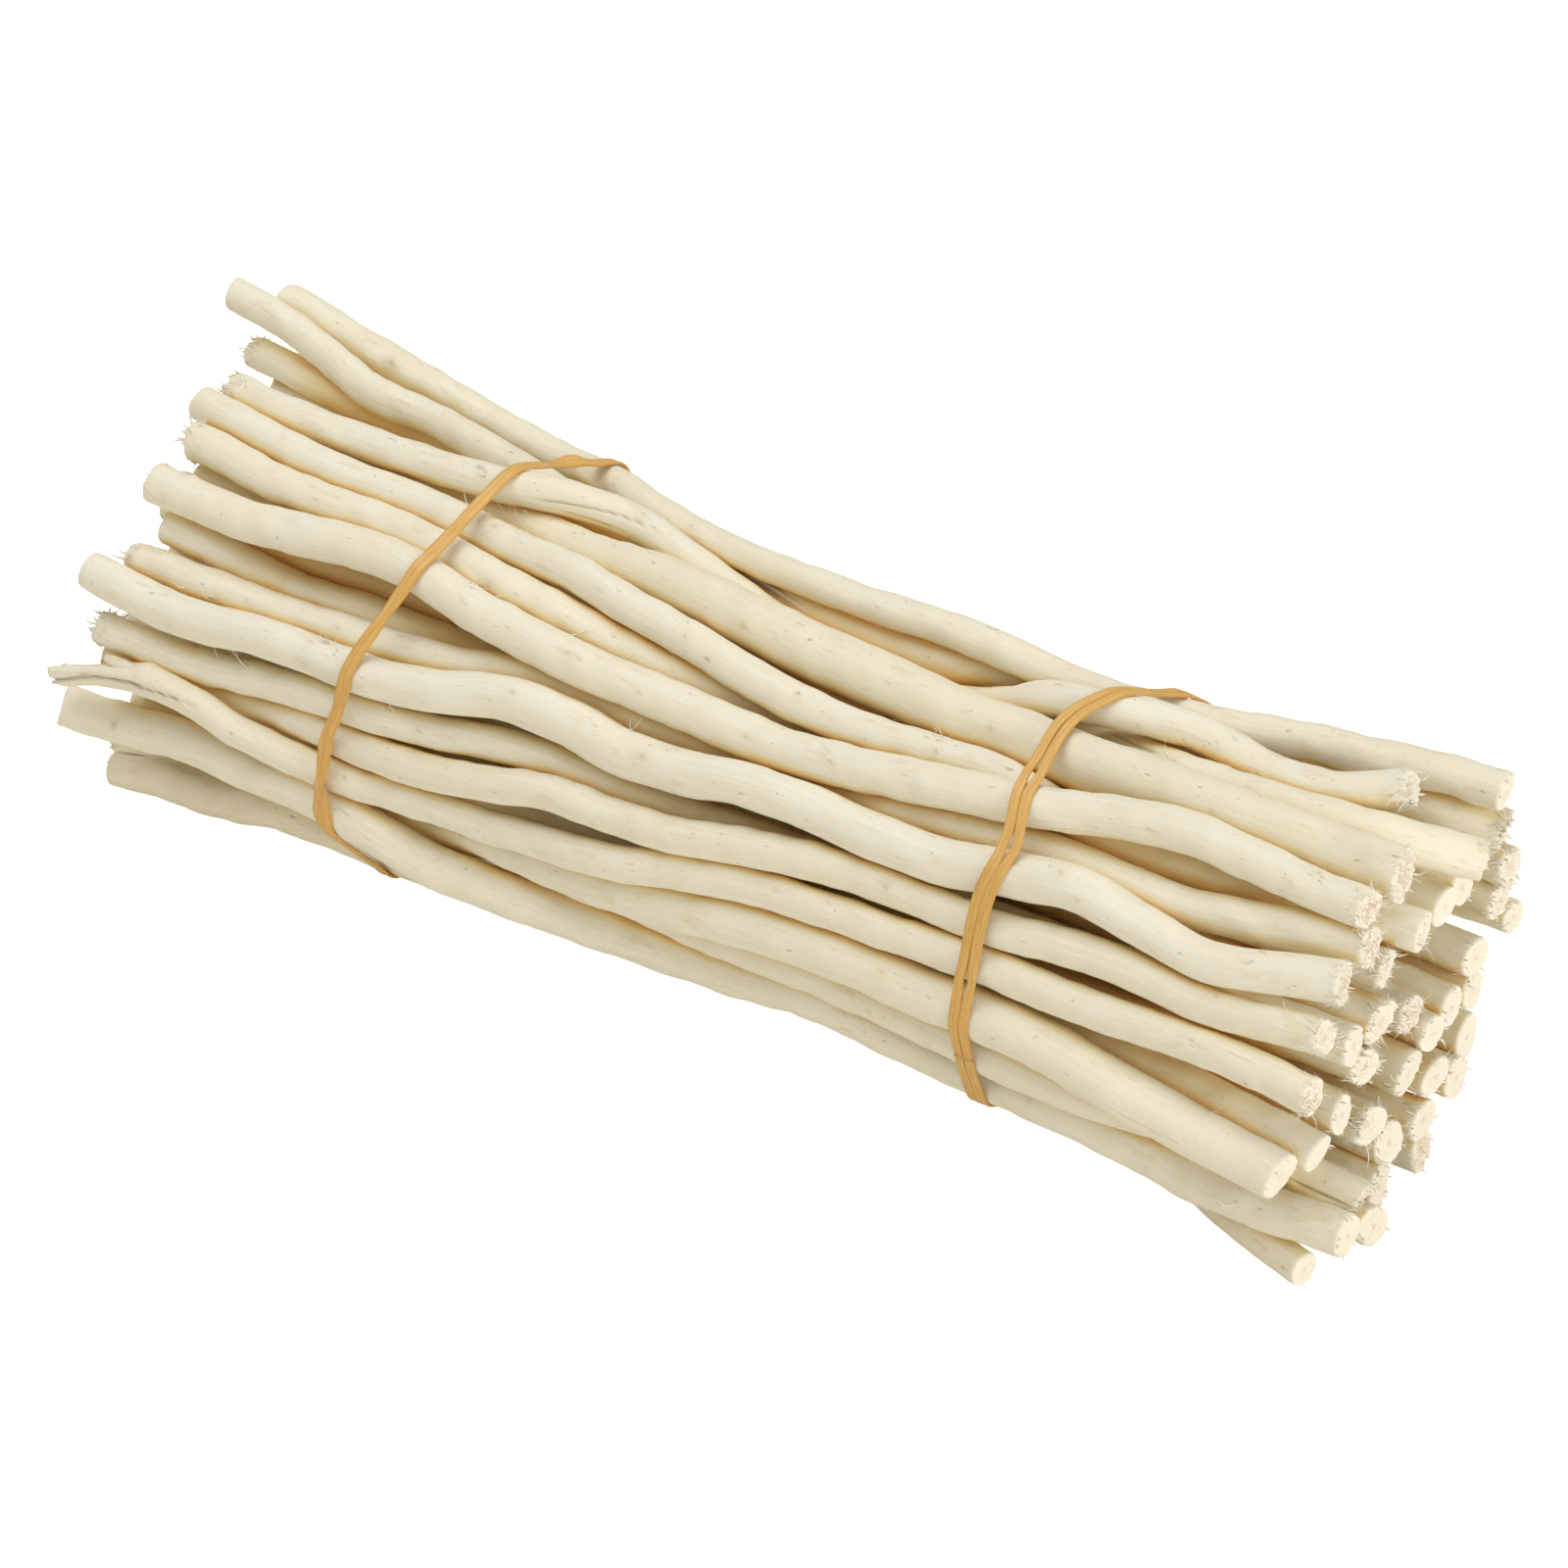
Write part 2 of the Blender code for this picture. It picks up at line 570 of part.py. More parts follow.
def relax(radii, target, firm, hidden):
    """Moves the twigs apart, holding the seen ones to their lines across the picture."""
    seen = firm.max(axis=1) > 0.8
    give = np.where(seen[:, None], np.array([0.12, 1.0]), np.array([1.0, 1.0]))
    places = straighten(target.copy(), hidden)
    hold = np.stack([0.40 * firm, 0.03 * firm], axis=-1) + 0.012
    for step in range(HELD_ROUNDS + FREE_ROUNDS):
        held = step < HELD_ROUNDS
        if held:
            places = places + hold * (target - places)
        places = places + (0.25 if held else 0.02) * smooth(places - target)
        for _ in range(3):
            move, worst = pushes(places, radii, give, GAP)
            places = places + 0.9 * move
            places = places + lift(places, radii)
            places = straighten(places, hidden)
        places = np.round(places, 6)
        if not held and worst < GAP_SLACK:
            break
    return places


def end_x(places, pixel, low, high):
    """The x at which a twig's line shows at a pixel, measured along the bundle."""
    grid = np.linspace(low, high, 81)
    across = np.interp(grid, STATIONS, places[:, 0])
    deep = np.interp(grid, STATIONS, places[:, 1])
    shown = np.array([picture_along(*line) for line in zip(grid, across, deep)])
    return float(np.interp(pixel_along(pixel), shown, grid))


def ends(names, places):
    """Each twig's lowest and highest x, its seen ends where the picture shows them."""
    found = []
    for index, name in enumerate(names):
        low = -HALF + HIDDEN_END_SETBACK * (2.0 + math.sin(3.1 * index))
        high = HALF - HIDDEN_END_SETBACK * (7.0 + math.sin(2.3 * index))
        line = places[index]
        edge = HALF + 0.9 * STATION_STEP
        if name in SEEN_TWIGS:
            trace = SEEN_TWIGS[name][1]
            if trace[0][0] < SEEN_LEFT_END:
                low = end_x(line, trace[0][:2], -edge, -0.7 * HALF)
            if trace[-1][0] > SEEN_RIGHT_END:
                high = end_x(line, trace[-1][:2], 0.7 * HALF, edge)
        elif name in HIDDEN_TWIGS:
            high = end_x(line, HIDDEN_TWIGS[name][1], 0.7 * HALF, edge)
        found.append((low, high))
    return found


def world(across, deep):
    """Section places as world (y, z), in millimetres."""
    y = across * ACROSS[1] + deep * DEEP[1]
    z = BUNDLE_CENTRE_HEIGHT + across * ACROSS[2] + deep * DEEP[2]
    return y, z


def wood(name, tint):
    material = bpy.data.materials.new(name)
    material.use_nodes = True
    shader = material.node_tree.nodes["Principled BSDF"]
    shader.inputs["Base Color"].default_value = tint
    shader.inputs["Roughness"].default_value = 0.7
    return material


def twig(name, line, radii, limits, hidden, material, collection):
    """One twig: a round curve along its line, its ends filled."""
    low, high = limits
    step = 2 if hidden else 1
    keep = [x for x in STATIONS[::step] if low + 5.0 < x < high - 5.0]
    xs = np.array([low] + keep + [high])
    y, z = world(np.interp(xs, STATIONS, line[:, 0]), np.interp(xs, STATIONS, line[:, 1]))
    wide = np.interp(xs, STATIONS, radii)
    curve = bpy.data.curves.new(name, "CURVE")
    curve.dimensions = "3D"
    curve.bevel_depth = 1.0 * MM
    curve.bevel_resolution = 1
    curve.use_fill_caps = True
    spline = curve.splines.new("POLY")
    spline.points.add(len(xs) - 1)
    for point, px, py, pz, radius in zip(spline.points, xs, y, z, wide):
        point.co = (px * MM, py * MM, pz * MM, 1.0)
        point.radius = radius
    curve.materials.append(material)
    thing = bpy.data.objects.new(name, curve)
    collection.objects.link(thing)
    return thing


def band_lean(path):
    """The x of a band as a function of its place across, over the seen side."""
    places = np.array([on_bundle(pixel, 0.0, -0.5 * BAND_THICKNESS) for pixel in path])
    order = np.argsort(places[:, 1])
    return places[order, 1], places[order, 0]


def lean_at(lean, across, deep):
    """A band's x at places of the section: the seen path, and a straight run behind."""
    across_line, x_line = lean
    seen = np.interp(across, across_line, x_line)
    share = np.clip((across - across_line[0]) / (across_line[-1] - across_line[0]), 0.0, 1.0)
    behind = x_line[0] + share * (x_line[-1] - x_line[0])
    side = np.clip(0.5 + deep / 16.0, 0.0, 1.0)
    return side * seen + (1.0 - side) * behind


def convex(points):
    """The corners of the convex hull of flat points, in turn."""
    order = sorted({(round(float(a), 4), round(float(b), 4)) for a, b in points})

    def chain(run):
        kept = []
        for point in run:
            while len(kept) > 1:
                ax, ay = kept[-1][0] - kept[-2][0], kept[-1][1] - kept[-2][1]
                bx, by = point[0] - kept[-2][0], point[1] - kept[-2][1]
                if ax * by - ay * bx > 1e-6:
                    break
                kept.pop()
            kept.append(point)
        return kept[:-1]

    return np.array(chain(order) + chain(order[::-1]))


def band_loop(places, radii, lean, half_width):
    """The band's inner line round the twigs: (x, y, z) and the way out at each point."""
    found = []
    xs = np.arange(-HALF, HALF, 2.0)
    angles = np.arange(16) * (2.0 * math.pi / 16)
    factor = tilt_factor(places)
    for line, radius, wide in zip(places, radii, factor):
        across = np.interp(xs, STATIONS, line[:, 0])
        deep = np.interp(xs, STATIONS, line[:, 1])
        reach = np.interp(xs, STATIONS, radius) * wide.max() + BAND_CLEARANCE
        for angle in angles:
            a = across + reach * math.cos(angle)
            d = deep + reach * math.sin(angle)
            near = np.abs(xs - lean_at(lean, a, d)) < half_width + 3.0
            found.extend(zip(*world(a[near], d[near])))
    hull = convex(found)
    floor = hull[:, 1].min() + BAND_FLAT
    hull[:, 1] = np.maximum(hull[:, 1], floor)
    kept = [hull[0]]
    for point in hull[1:]:
        if math.dist(point, kept[-1]) > 1.2:
            kept.append(point)
    if math.dist(kept[0], kept[-1]) < 1.2:
        kept.pop()
    kept = np.array(kept)
    ahead = np.roll(kept, -1, axis=0) - kept
    ahead = ahead / np.sqrt((ahead * ahead).sum(axis=1))[:, None]
    out = np.stack([ahead[:, 1], -ahead[:, 0]], axis=1)
    before = np.roll(out, 1, axis=0)
    mean = out + before
    mean = 2.0 * mean / (mean * mean).sum(axis=1)[:, None]
    offset_z = kept[:, 1] - BUNDLE_CENTRE_HEIGHT
    across = kept[:, 0] * ACROSS[1] + offset_z * ACROSS[2]
    deep = kept[:, 0] * DEEP[1] + offset_z * DEEP[2]
    x = lean_at(lean, across, deep)
    return np.column_stack([x, kept]), mean


def strap(name, line, out, width, rise, material, collection):
    """A closed strap: four rails round its line, joined by quads."""
    count = len(line)
    low = line[:, 1:] + out * rise[:, None]
    high = low + out * BAND_THICKNESS
    rails = []
    for side, rail in ((-0.5, low), (0.5, low), (0.5, high), (-0.5, high)):
        rails.append(np.column_stack([line[:, 0] + side * width, rail]))
    points = np.concatenate(rails) * MM
    faces = []
    for rail in range(4):
        following = (rail + 1) % 4
        for index in range(count):
            after = (index + 1) % count
            faces.append((
                rail * count + index, rail * count + after,
                following * count + after, following * count + index,
            ))
    mesh = bpy.data.meshes.new(name)
    mesh.from_pydata([tuple(point) for point in points], [], faces)
    mesh.materials.append(material)
    mesh.update()
    corners = np.array([[points[v] for v in face[:3]] for face in faces])
    volume = np.cross(corners[:, 0], corners[:, 1])
    if float((volume * corners[:, 2]).sum()) < 0.0:
        mesh.flip_normals()
    thing = bpy.data.objects.new(name, mesh)
    collection.objects.link(thing)
    return thing


def wound_twice(line, out):
    """The doubled band's line: twice round, the strands changing sides once behind."""
    offset_z = line[:, 2] - BUNDLE_CENTRE_HEIGHT
    angle = np.arctan2(offset_z, line[:, 1]) - CROSSING_ANGLE
    angle = np.arctan2(np.sin(angle), np.cos(angle))
    order = np.argsort(angle)
    line, out, angle = line[order], out[order], angle[order]
    share = np.clip(0.5 + 0.5 * angle / CROSSING_SPREAD, 0.0, 1.0)
    change = share * share * (3.0 - 2.0 * share)
    near = (1.7 * CROSSING_SPREAD - np.abs(angle)) / (0.6 * CROSSING_SPREAD)
    bump = CROSSING_RISE * np.clip(near, 0.0, 1.0)
    first = line.copy()
    first[:, 0] += RIGHT_STRAND_OFFSET * (1.0 - 2.0 * change)
    second = line.copy()
    second[:, 0] -= RIGHT_STRAND_OFFSET * (1.0 - 2.0 * change)
    both = np.concatenate([first, second])
    outs = np.concatenate([out, out])
    rise = np.concatenate([bump, np.zeros(len(line))])
    return both, outs, rise


def centre_on_floor(collection):
    """Moves every object's data so that the bundle's box stands centred on the origin."""
    bpy.context.view_layer.update()
    graph = bpy.context.evaluated_depsgraph_get()
    corners = []
    for thing in collection.objects:
        mesh = thing.evaluated_get(graph).to_mesh()
        points = np.empty(len(mesh.vertices) * 3)
        mesh.vertices.foreach_get("co", points)
        points = points.reshape(-1, 3)
        corners.extend((points.min(axis=0), points.max(axis=0)))
        thing.evaluated_get(graph).to_mesh_clear()
    low = np.min(corners, axis=0)
    high = np.max(corners, axis=0)
    shift = Vector((-0.5 * (low[0] + high[0]), -0.5 * (low[1] + high[1]), -low[2]))
    for thing in collection.objects:
        thing.data.transform(Matrix.Translation(shift))
    print("moved by", [round(value / MM, 4) for value in shift], "mm")


def clear_scene():
    for thing in list(bpy.data.objects):
        bpy.data.objects.remove(thing)


def main():
    clear_scene()
    collection = bpy.data.collections.new("bundle_of_twigs")
    bpy.context.scene.collection.children.link(collection)
    pale = wood("peeled_wood", (0.80, 0.73, 0.58, 1.0))
    amber = wood("amber_rubber", (0.72, 0.40, 0.12, 1.0))
    names, radii, target, firm, hidden = collect()
    places = relax(radii, target, firm, hidden)
    limits = ends(names, places)
    for index, name in enumerate(names):
        twig(name, places[index], radii[index], limits[index], hidden[index], pale, collection)
    lean = band_lean(LEFT_BAND_PATH)
    line, out = band_loop(places, radii, lean, 0.5 * LEFT_BAND_WIDTH)
    flat = np.zeros(len(line))
    strap("band_left", line, out, LEFT_BAND_WIDTH, flat, amber, collection)
    lean = band_lean(RIGHT_BAND_PATH)
    line, out = band_loop(places, radii, lean, RIGHT_STRAND_OFFSET + RIGHT_STRAND_WIDTH)
    line, out, rise = wound_twice(line, out)
    strap("band_right", line, out, RIGHT_STRAND_WIDTH, rise, amber, collection)
    centre_on_floor(collection)


main()
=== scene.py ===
"""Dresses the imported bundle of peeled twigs: fine wood, cut ends, torn fibres, rubber bands.

Frame: metres, +X along the twigs towards the cut ends that face the viewer, +Z up, floor at
z = 0. Every twig is read back from its CAD node as a centre line with a radius, and each new
twig is a round surface carried along a smooth curve through that line.
"""

import math

import bpy
import numpy as np
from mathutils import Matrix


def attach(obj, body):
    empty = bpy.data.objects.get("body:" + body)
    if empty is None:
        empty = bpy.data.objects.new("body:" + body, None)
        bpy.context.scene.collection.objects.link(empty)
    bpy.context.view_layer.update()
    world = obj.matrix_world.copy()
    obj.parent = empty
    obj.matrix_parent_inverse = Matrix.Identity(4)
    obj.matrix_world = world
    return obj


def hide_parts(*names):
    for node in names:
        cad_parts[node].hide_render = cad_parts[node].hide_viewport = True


bl_info = {
    "name": "Bundle of Twigs",
    "version": (1, 0, 0),
    "blender": (4, 5, 0),
    "location": "3D View > Sidebar > Twigs",
    "description": "Dresses a bundle of peeled twigs held by two rubber bands",
    "category": "Object",
}

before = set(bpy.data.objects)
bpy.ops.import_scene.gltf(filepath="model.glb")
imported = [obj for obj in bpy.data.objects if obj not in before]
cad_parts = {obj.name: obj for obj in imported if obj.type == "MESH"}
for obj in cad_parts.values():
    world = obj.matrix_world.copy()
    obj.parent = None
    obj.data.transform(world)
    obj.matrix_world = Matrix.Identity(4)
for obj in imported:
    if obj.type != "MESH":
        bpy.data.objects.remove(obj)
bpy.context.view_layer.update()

MM = 0.001
WHOLE_TURN = 2.0 * math.pi
# stands for the distance in pixels of a place that the camera can't see
FAR_OFF = 1e12

# the CAD's rings and the bundle
RING_POINTS = 6
SEEN_TWIGS = 25
TWIG_COUNT = 50
# seeds of the chance draws
FIRST_TWIG_SEED = 700
BAND_LEFT_SEED = 31
BAND_RIGHT_SEED = 32

# the photograph's camera
VIEW_AZIMUTH = math.radians(35.0)
VIEW_ELEVATION = math.radians(34.0)
VIEW_DISTANCE = 2.4
PICTURE_SIDE = 1600.0
PIXELS_PER_METRE = 3840.0
BUNDLE_CENTRE = np.array([0.0049298, -0.0029417, 0.0573253])
BUNDLE_CENTRE_PIXEL = (793.0, 795.0)
SENSOR_WIDTH = 36.0

RIGHT = np.array([math.cos(VIEW_AZIMUTH), math.sin(VIEW_AZIMUTH), 0.0])
BACK = np.array([
    math.sin(VIEW_AZIMUTH) * math.cos(VIEW_ELEVATION),
    -math.cos(VIEW_AZIMUTH) * math.cos(VIEW_ELEVATION),
    math.sin(VIEW_ELEVATION),
])
UP = np.cross(BACK, RIGHT)
FOCAL = PIXELS_PER_METRE * VIEW_DISTANCE
HALF_PICTURE = 0.5 * PICTURE_SIDE
CAMERA = (
    BUNDLE_CENTRE
    + RIGHT * (HALF_PICTURE - BUNDLE_CENTRE_PIXEL[0]) / PIXELS_PER_METRE
    - UP * (HALF_PICTURE - BUNDLE_CENTRE_PIXEL[1]) / PIXELS_PER_METRE
    + BACK * VIEW_DISTANCE
)

# where round the bundle the doubled band's strands cross, and the turn to either side of it
CROSSING_ANGLE = math.radians(20.0)
CROSSING_SPREAD = math.radians(26.0)

# the zone of close rings at each end of a twig, and their share of the usual spacing
END_ZONE = 0.014
END_SPACING = 0.8
# how strongly a cracked twig's points gather at its first crack
CRACK_GATHERING = 0.72
# the rings of a cut face, as shares of the way from its middle to its rim
CAP_SHARES = np.array([0.975, 0.90, 0.80, 0.69, 0.57, 0.45, 0.34, 0.23, 0.13, 0.05])
PITH_DEPTH = 0.3 * MM
# how far each twig's grain is moved along and across, so that no two are alike
GRAIN_ALONG = 0.73
GRAIN_ACROSS = 0.11
# rings and sides of the strands, the splinters and the straps
STRAND_RINGS = 6
SPLINTER_RINGS = 26
SPLINTER_SIDES = 12
STRAP_SIDES = 16
# no fibre lies lower than this
LOWEST_FIBRE = 0.2 * MM
# how many stray hairs and flakes a twig has
SEEN_HAIRS = 30
HIDDEN_HAIRS = 8

# Painted shade in the gaps between twigs, from what shelters a surface: how far outside it in
# mm, how fast that fades in mm and its share.
GAP_SHADE_STEPS = ((1.2, 1.2, 0.5), (4.0, 2.4, 0.42), (10.0, 5.0, 0.34))
# Painted shade deep in the bundle: the depth in mm below the outer skin that still counts as
# open, over how much more the rest closes, and how much of it closes there
SKIN_DEPTH = 6.0
SKIN_FADE = 14.0
SKIN_SHARE = 0.7

# Knots: the pixel where the photograph shows each, its width in mm and its height in mm.
KNOTS = {
    "twig_01": ((400, 370, 4.0, 0.35), (640, 512, 3.0, 0.25)),
    "twig_02": ((535, 459, 3.0, 0.35), (352, 372, 3.0, 0.2)),
    "twig_05": ((1419, 812, 3.4, 0.9), (1160, 740, 4.0, 0.3), (330, 440, 3.0, 0.2)),
    "twig_07": ((1198, 778, 4.0, 1.2), (1130, 752, 5.0, 0.35)),
    "twig_08": ((760, 640, 6.0, 0.4), (1010, 745, 5.0, 0.3), (1235, 830, 5.0, 0.3)),
    "twig_09": ((505, 540, 5.0, 0.8), (957, 768, 3.0, 1.2), (700, 650, 4.0, 0.35)),
    "twig_10": ((480, 592, 2.6, 0.45), (497, 598, 2.4, 0.4)),
    "twig_11": ((193, 485, 3.0, 1.3), (1348, 892, 3.0, 0.4), (760, 752, 5.0, 0.3)),
    "twig_13": ((290, 590, 3.0, 0.3),),
    "twig_15": ((345, 640, 3.6, 0.3), (905, 820, 3.0, 0.25)),
    "twig_16": (
        (523, 706, 4.0, 0.6), (1083, 893, 3.6, 0.5), (318, 655, 5.0, 0.3),
        (655, 772, 5.0, 0.5), (690, 765, 4.0, 0.35), (1100, 918, 4.0, 0.3),
    ),
    "twig_17": ((428, 745, 4.0, 0.45), (640, 800, 4.0, 0.4)),
    "twig_18": ((124, 663, 5.0, 1.4), (1240, 1018, 3.4, 0.4), (905, 905, 3.0, 0.35)),
    "twig_19": ((352, 792, 3.4, 0.4), (1270, 1105, 4.0, 0.5)),
    "twig_20": ((470, 850, 4.0, 0.4), (900, 990, 5.0, 0.3)),
    "twig_21": ((115, 740, 3.0, 0.35), (1050, 1120, 5.0, 0.3)),
    "twig_22": ((940, 1040, 4.0, 0.3), (1200, 1160, 4.0, 0.3)),
    "twig_23": ((1290, 1275, 4.0, 0.2),),
}

# Cracks: the pixels where each starts and ends, its width in mm and its depth in mm.
CRACKS = {
    "twig_05": ((545, 510, 690, 552, 0.50, 0.45), (572, 522, 640, 544, 0.50, 0.30)),
    "twig_06": ((765, 590, 828, 626, 0.50, 0.8),),
    "twig_07": ((1128, 748, 1192, 772, 0.6, 0.7),),
    "twig_19": (
        (56, 694, 165, 707, 0.55, 1.7), (118, 700, 215, 728, 0.45, 0.9),
        (80, 689, 112, 693, 0.45, 0.5),
    ),
    "twig_22": ((1318, 1207, 1387, 1236, 0.7, 1.6),),
    "twig_36": ((1372, 1140, 1396, 1150, 0.4, 0.5),),
}

# Swellings that close slivers between twigs: the pixel at each middle, its width in mm and its
# height in mm.
SWELLINGS = {
    "twig_01": ((396, 387, 13.0, 0.9),),
    "twig_02": ((396, 387, 12.0, 0.8),),
    "twig_08": ((558, 523, 7.0, 0.5),),
    "twig_19": ((138, 672, 11.0, 1.6),),
    "twig_35": ((120, 622, 9.0, 1.3),),
    "twig_39": ((1390, 1180, 15.0, 0.8),),
    "twig_40": ((1390, 1180, 15.0, 0.7),),
}

# Slanted ends: how far the upper side and the flank of the cut lean, as shares of a radius,
# left then right; None leaves the slant to chance.
SLANTS = {
    "twig_21": ((-0.41, -0.62), None),
}

# Dirt: the pixel at each patch's middle, its length and width in mm and its strength.
DIRT = {
    "twig_01": ((398, 370, 5.0, 3.0, 0.5),),
    "twig_04": ((296, 392, 8.0, 4.0, 0.45),),
    "twig_05": ((262, 402, 6.0, 4.0, 0.3),),
    "twig_07": ((1150, 760, 16.0, 4.0, 0.75),),
    "twig_08": ((1395, 870, 20.0, 6.0, 0.3),),
    "twig_10": ((500, 597, 5.0, 3.0, 0.5),),
    "twig_11": ((193, 485, 3.0, 2.5, 0.8),),
    "twig_14": ((205, 560, 14.0, 5.0, 0.5), (285, 595, 4.0, 3.0, 0.5)),
    "twig_15": (
        (131, 570, 2.6, 7.0, 0.9), (1310, 921, 2.5, 1.5, 0.9), (165, 585, 8.0, 5.0, 0.25),
    ),
    "twig_16": ((308, 675, 6.0, 4.0, 0.35), (330, 690, 10.0, 4.0, 0.25)),
    "twig_18": ((138, 660, 5.0, 5.0, 0.7), (906, 902, 4.0, 2.0, 0.4)),
    "twig_20": ((186, 728, 6.0, 4.0, 0.5),),
    "twig_21": ((115, 740, 3.0, 2.5, 0.5), (1080, 1105, 14.0, 4.0, 0.3)),
    "twig_22": ((1228, 1170, 12.0, 3.0, 0.3),),
    "twig_23": ((185, 782, 26.0, 4.5, 0.75), (215, 800, 10.0, 3.0, 0.5)),
}

# How each end was cut, left then right: clean, sawn, frayed or rough.
ENDS = {
    "twig_01": ("clean", "sawn"),
    "twig_02": ("clean", "sawn"),
    "twig_03": ("frayed", "frayed"),
    "twig_04": ("sawn", "frayed"),
    "twig_05": ("frayed", "frayed"),
    "twig_06": ("clean", "frayed"),
    "twig_07": ("clean", "frayed"),
    "twig_08": ("clean", "rough"),
    "twig_09": ("clean", "sawn"),
    "twig_10": ("frayed", "frayed"),
    "twig_11": ("sawn", "rough"),
    "twig_12": ("clean", "clean"),
    "twig_13": ("clean", "frayed"),
    "twig_14": ("sawn", "sawn"),
    "twig_15": ("sawn", "rough"),
    "twig_16": ("clean", "rough"),
    "twig_17": ("frayed", "sawn"),
    "twig_18": ("sawn", "frayed"),
    "twig_19": ("sawn", "rough"),
    "twig_20": ("clean", "sawn"),
    "twig_21": ("clean", "sawn"),
    "twig_22": ("sawn", "rough"),
    "twig_23": ("clean", "clean"),
    "twig_24": ("clean", "clean"),
    "twig_28": ("sawn", "rough"),
    "twig_30": ("clean", "clean"),
    "twig_31": ("sawn", "frayed"),
    "twig_36": ("sawn", "frayed"),
    "twig_38": ("sawn", "rough"),
    "twig_40": ("sawn", "frayed"),
}
OTHER_ENDS = ("sawn", "sawn")

# How rough each kind of cut is: raggedness of the rim and of the face in mm, brown specks,
# how many torn fibres stand at the rim and on the face, and how many broad shreds hang there.
CUTS = {
    "clean": (0.05, 0.02, 0.0, 6, 0, 0),
    "sawn": (0.17, 0.08, 0.25, 30, 8, 10),
    "frayed": (0.36, 0.20, 0.40, 100, 36, 34),
    "rough": (0.36, 0.42, 1.0, 70, 44, 24),
}

# Ends with longer torn fibres than the rest, left then right.
LONG_FIBRES = {
    "twig_03": (1.2, 1.4),
    "twig_05": (1.3, 1.5),
    "twig_10": (1.2, 1.0),
    "twig_11": (1.4, 1.2),
    "twig_17": (1.7, 1.2),
}

# Split pieces: the pixels where each is rooted and where its tip lies, its width and thickness
# in mm, and how far it stands off the twig as a share of the twig's radius, root then tip.
SPLINTERS = {
    "twig_06": (
        (828, 626, 765, 590, 1.5, 0.9, -0.15, 0.22),
        (772, 590, 757, 588, 0.8, 0.5, 0.10, 0.30),
    ),
    "twig_09": (
        (533, 537, 549, 577, 0.30, 0.24, 0.02, 0.05),
        (520, 533, 532, 548, 0.30, 0.24, 0.02, 0.12),
    ),
    "twig_19": (
        (170, 716, 52, 701, 2.3, 1.9, -0.45, 0.02), (150, 682, 108, 670, 4.8, 4.4, -0.7, 0.34),
    ),
    "twig_22": ((1335, 1222, 1390, 1246, 2.0, 1.2, -0.35, 0.05),),
    "twig_23": ((168, 770, 118, 766, 2.6, 0.8, -0.15, 0.12),),
}

# How yellow each seen twig is, from whitish to tan, partly real tone and partly painted shade:
# more tan for twigs that lie deep or low in the bundle; the rest, all hidden, are taken by
# chance, leaning to tan as painted shade.
TONES_WITH_SHADE = {
    "twig_01": 0.45, "twig_02": 0.30, "twig_03": 0.75, "twig_04": 0.85, "twig_05": 0.25,
    "twig_06": 0.70, "twig_07": 0.65, "twig_08": 0.80, "twig_09": 0.20, "twig_10": 0.40,
    "twig_11": 0.30, "twig_12": 0.75, "twig_13": 0.30, "twig_14": 0.70, "twig_15": 0.30,
    "twig_16": 0.05, "twig_17": 0.10, "twig_18": 0.45, "twig_19": 0.35, "twig_20": 0.40,
    "twig_21": 0.30, "twig_22": 0.60, "twig_23": 0.85, "twig_24": 0.60, "twig_25": 0.70,
}

# The lights: where each stands and its side, and the point in the bundle that they face.
LAMPS = {
    "key": ((-0.5, -0.1, 1.8), 1.7),
    "fill": ((1.5, -1.3, 1.0), 1.2),
    "side": ((2.2, -0.3, 0.5), 1.0),
}
LIT_POINT = np.array([0.0, 0.0, 0.05])

# Places where the single strap is wider or narrower: the pixel and the share of its width.
BAND_WIDTHS = (
    (322, 800, 0.30),
    (336, 830, 0.45),
    (345, 705, 0.18),
    (407, 640, -0.22),
    (480, 545, -0.10),
    (545, 478, 0.40),
    (575, 476, 0.50),
    (605, 476, 0.45),
)

# Places where the single strap is turned edge up: the pixel and the angle in radians.
BAND_ROLLS = (
    (325, 792, 0.55),
    (590, 474, -0.40),
)

# Places where a strap runs further along the twigs than its CAD piece: the pixel, how far in mm
# and over how many degrees round the bundle.
BAND_SHIFTS = {
    "band_left": ((342, 722, 2.2, 9.0), (321, 792, 2.0, 7.0), (352, 850, -5.5, 8.0)),
    "band_right": ((1020, 862, 3.6, 9.0), (1112, 745, -5.5, 12.0), (1215, 712, -6.0, 14.0)),
}

# Places where the doubled band's strands stand apart: the pixel and how far.
BAND_SLITS = (
    (1062, 797, 1.0),
    (1030, 862, 1.0),
    (987, 1002, 0.9),
)

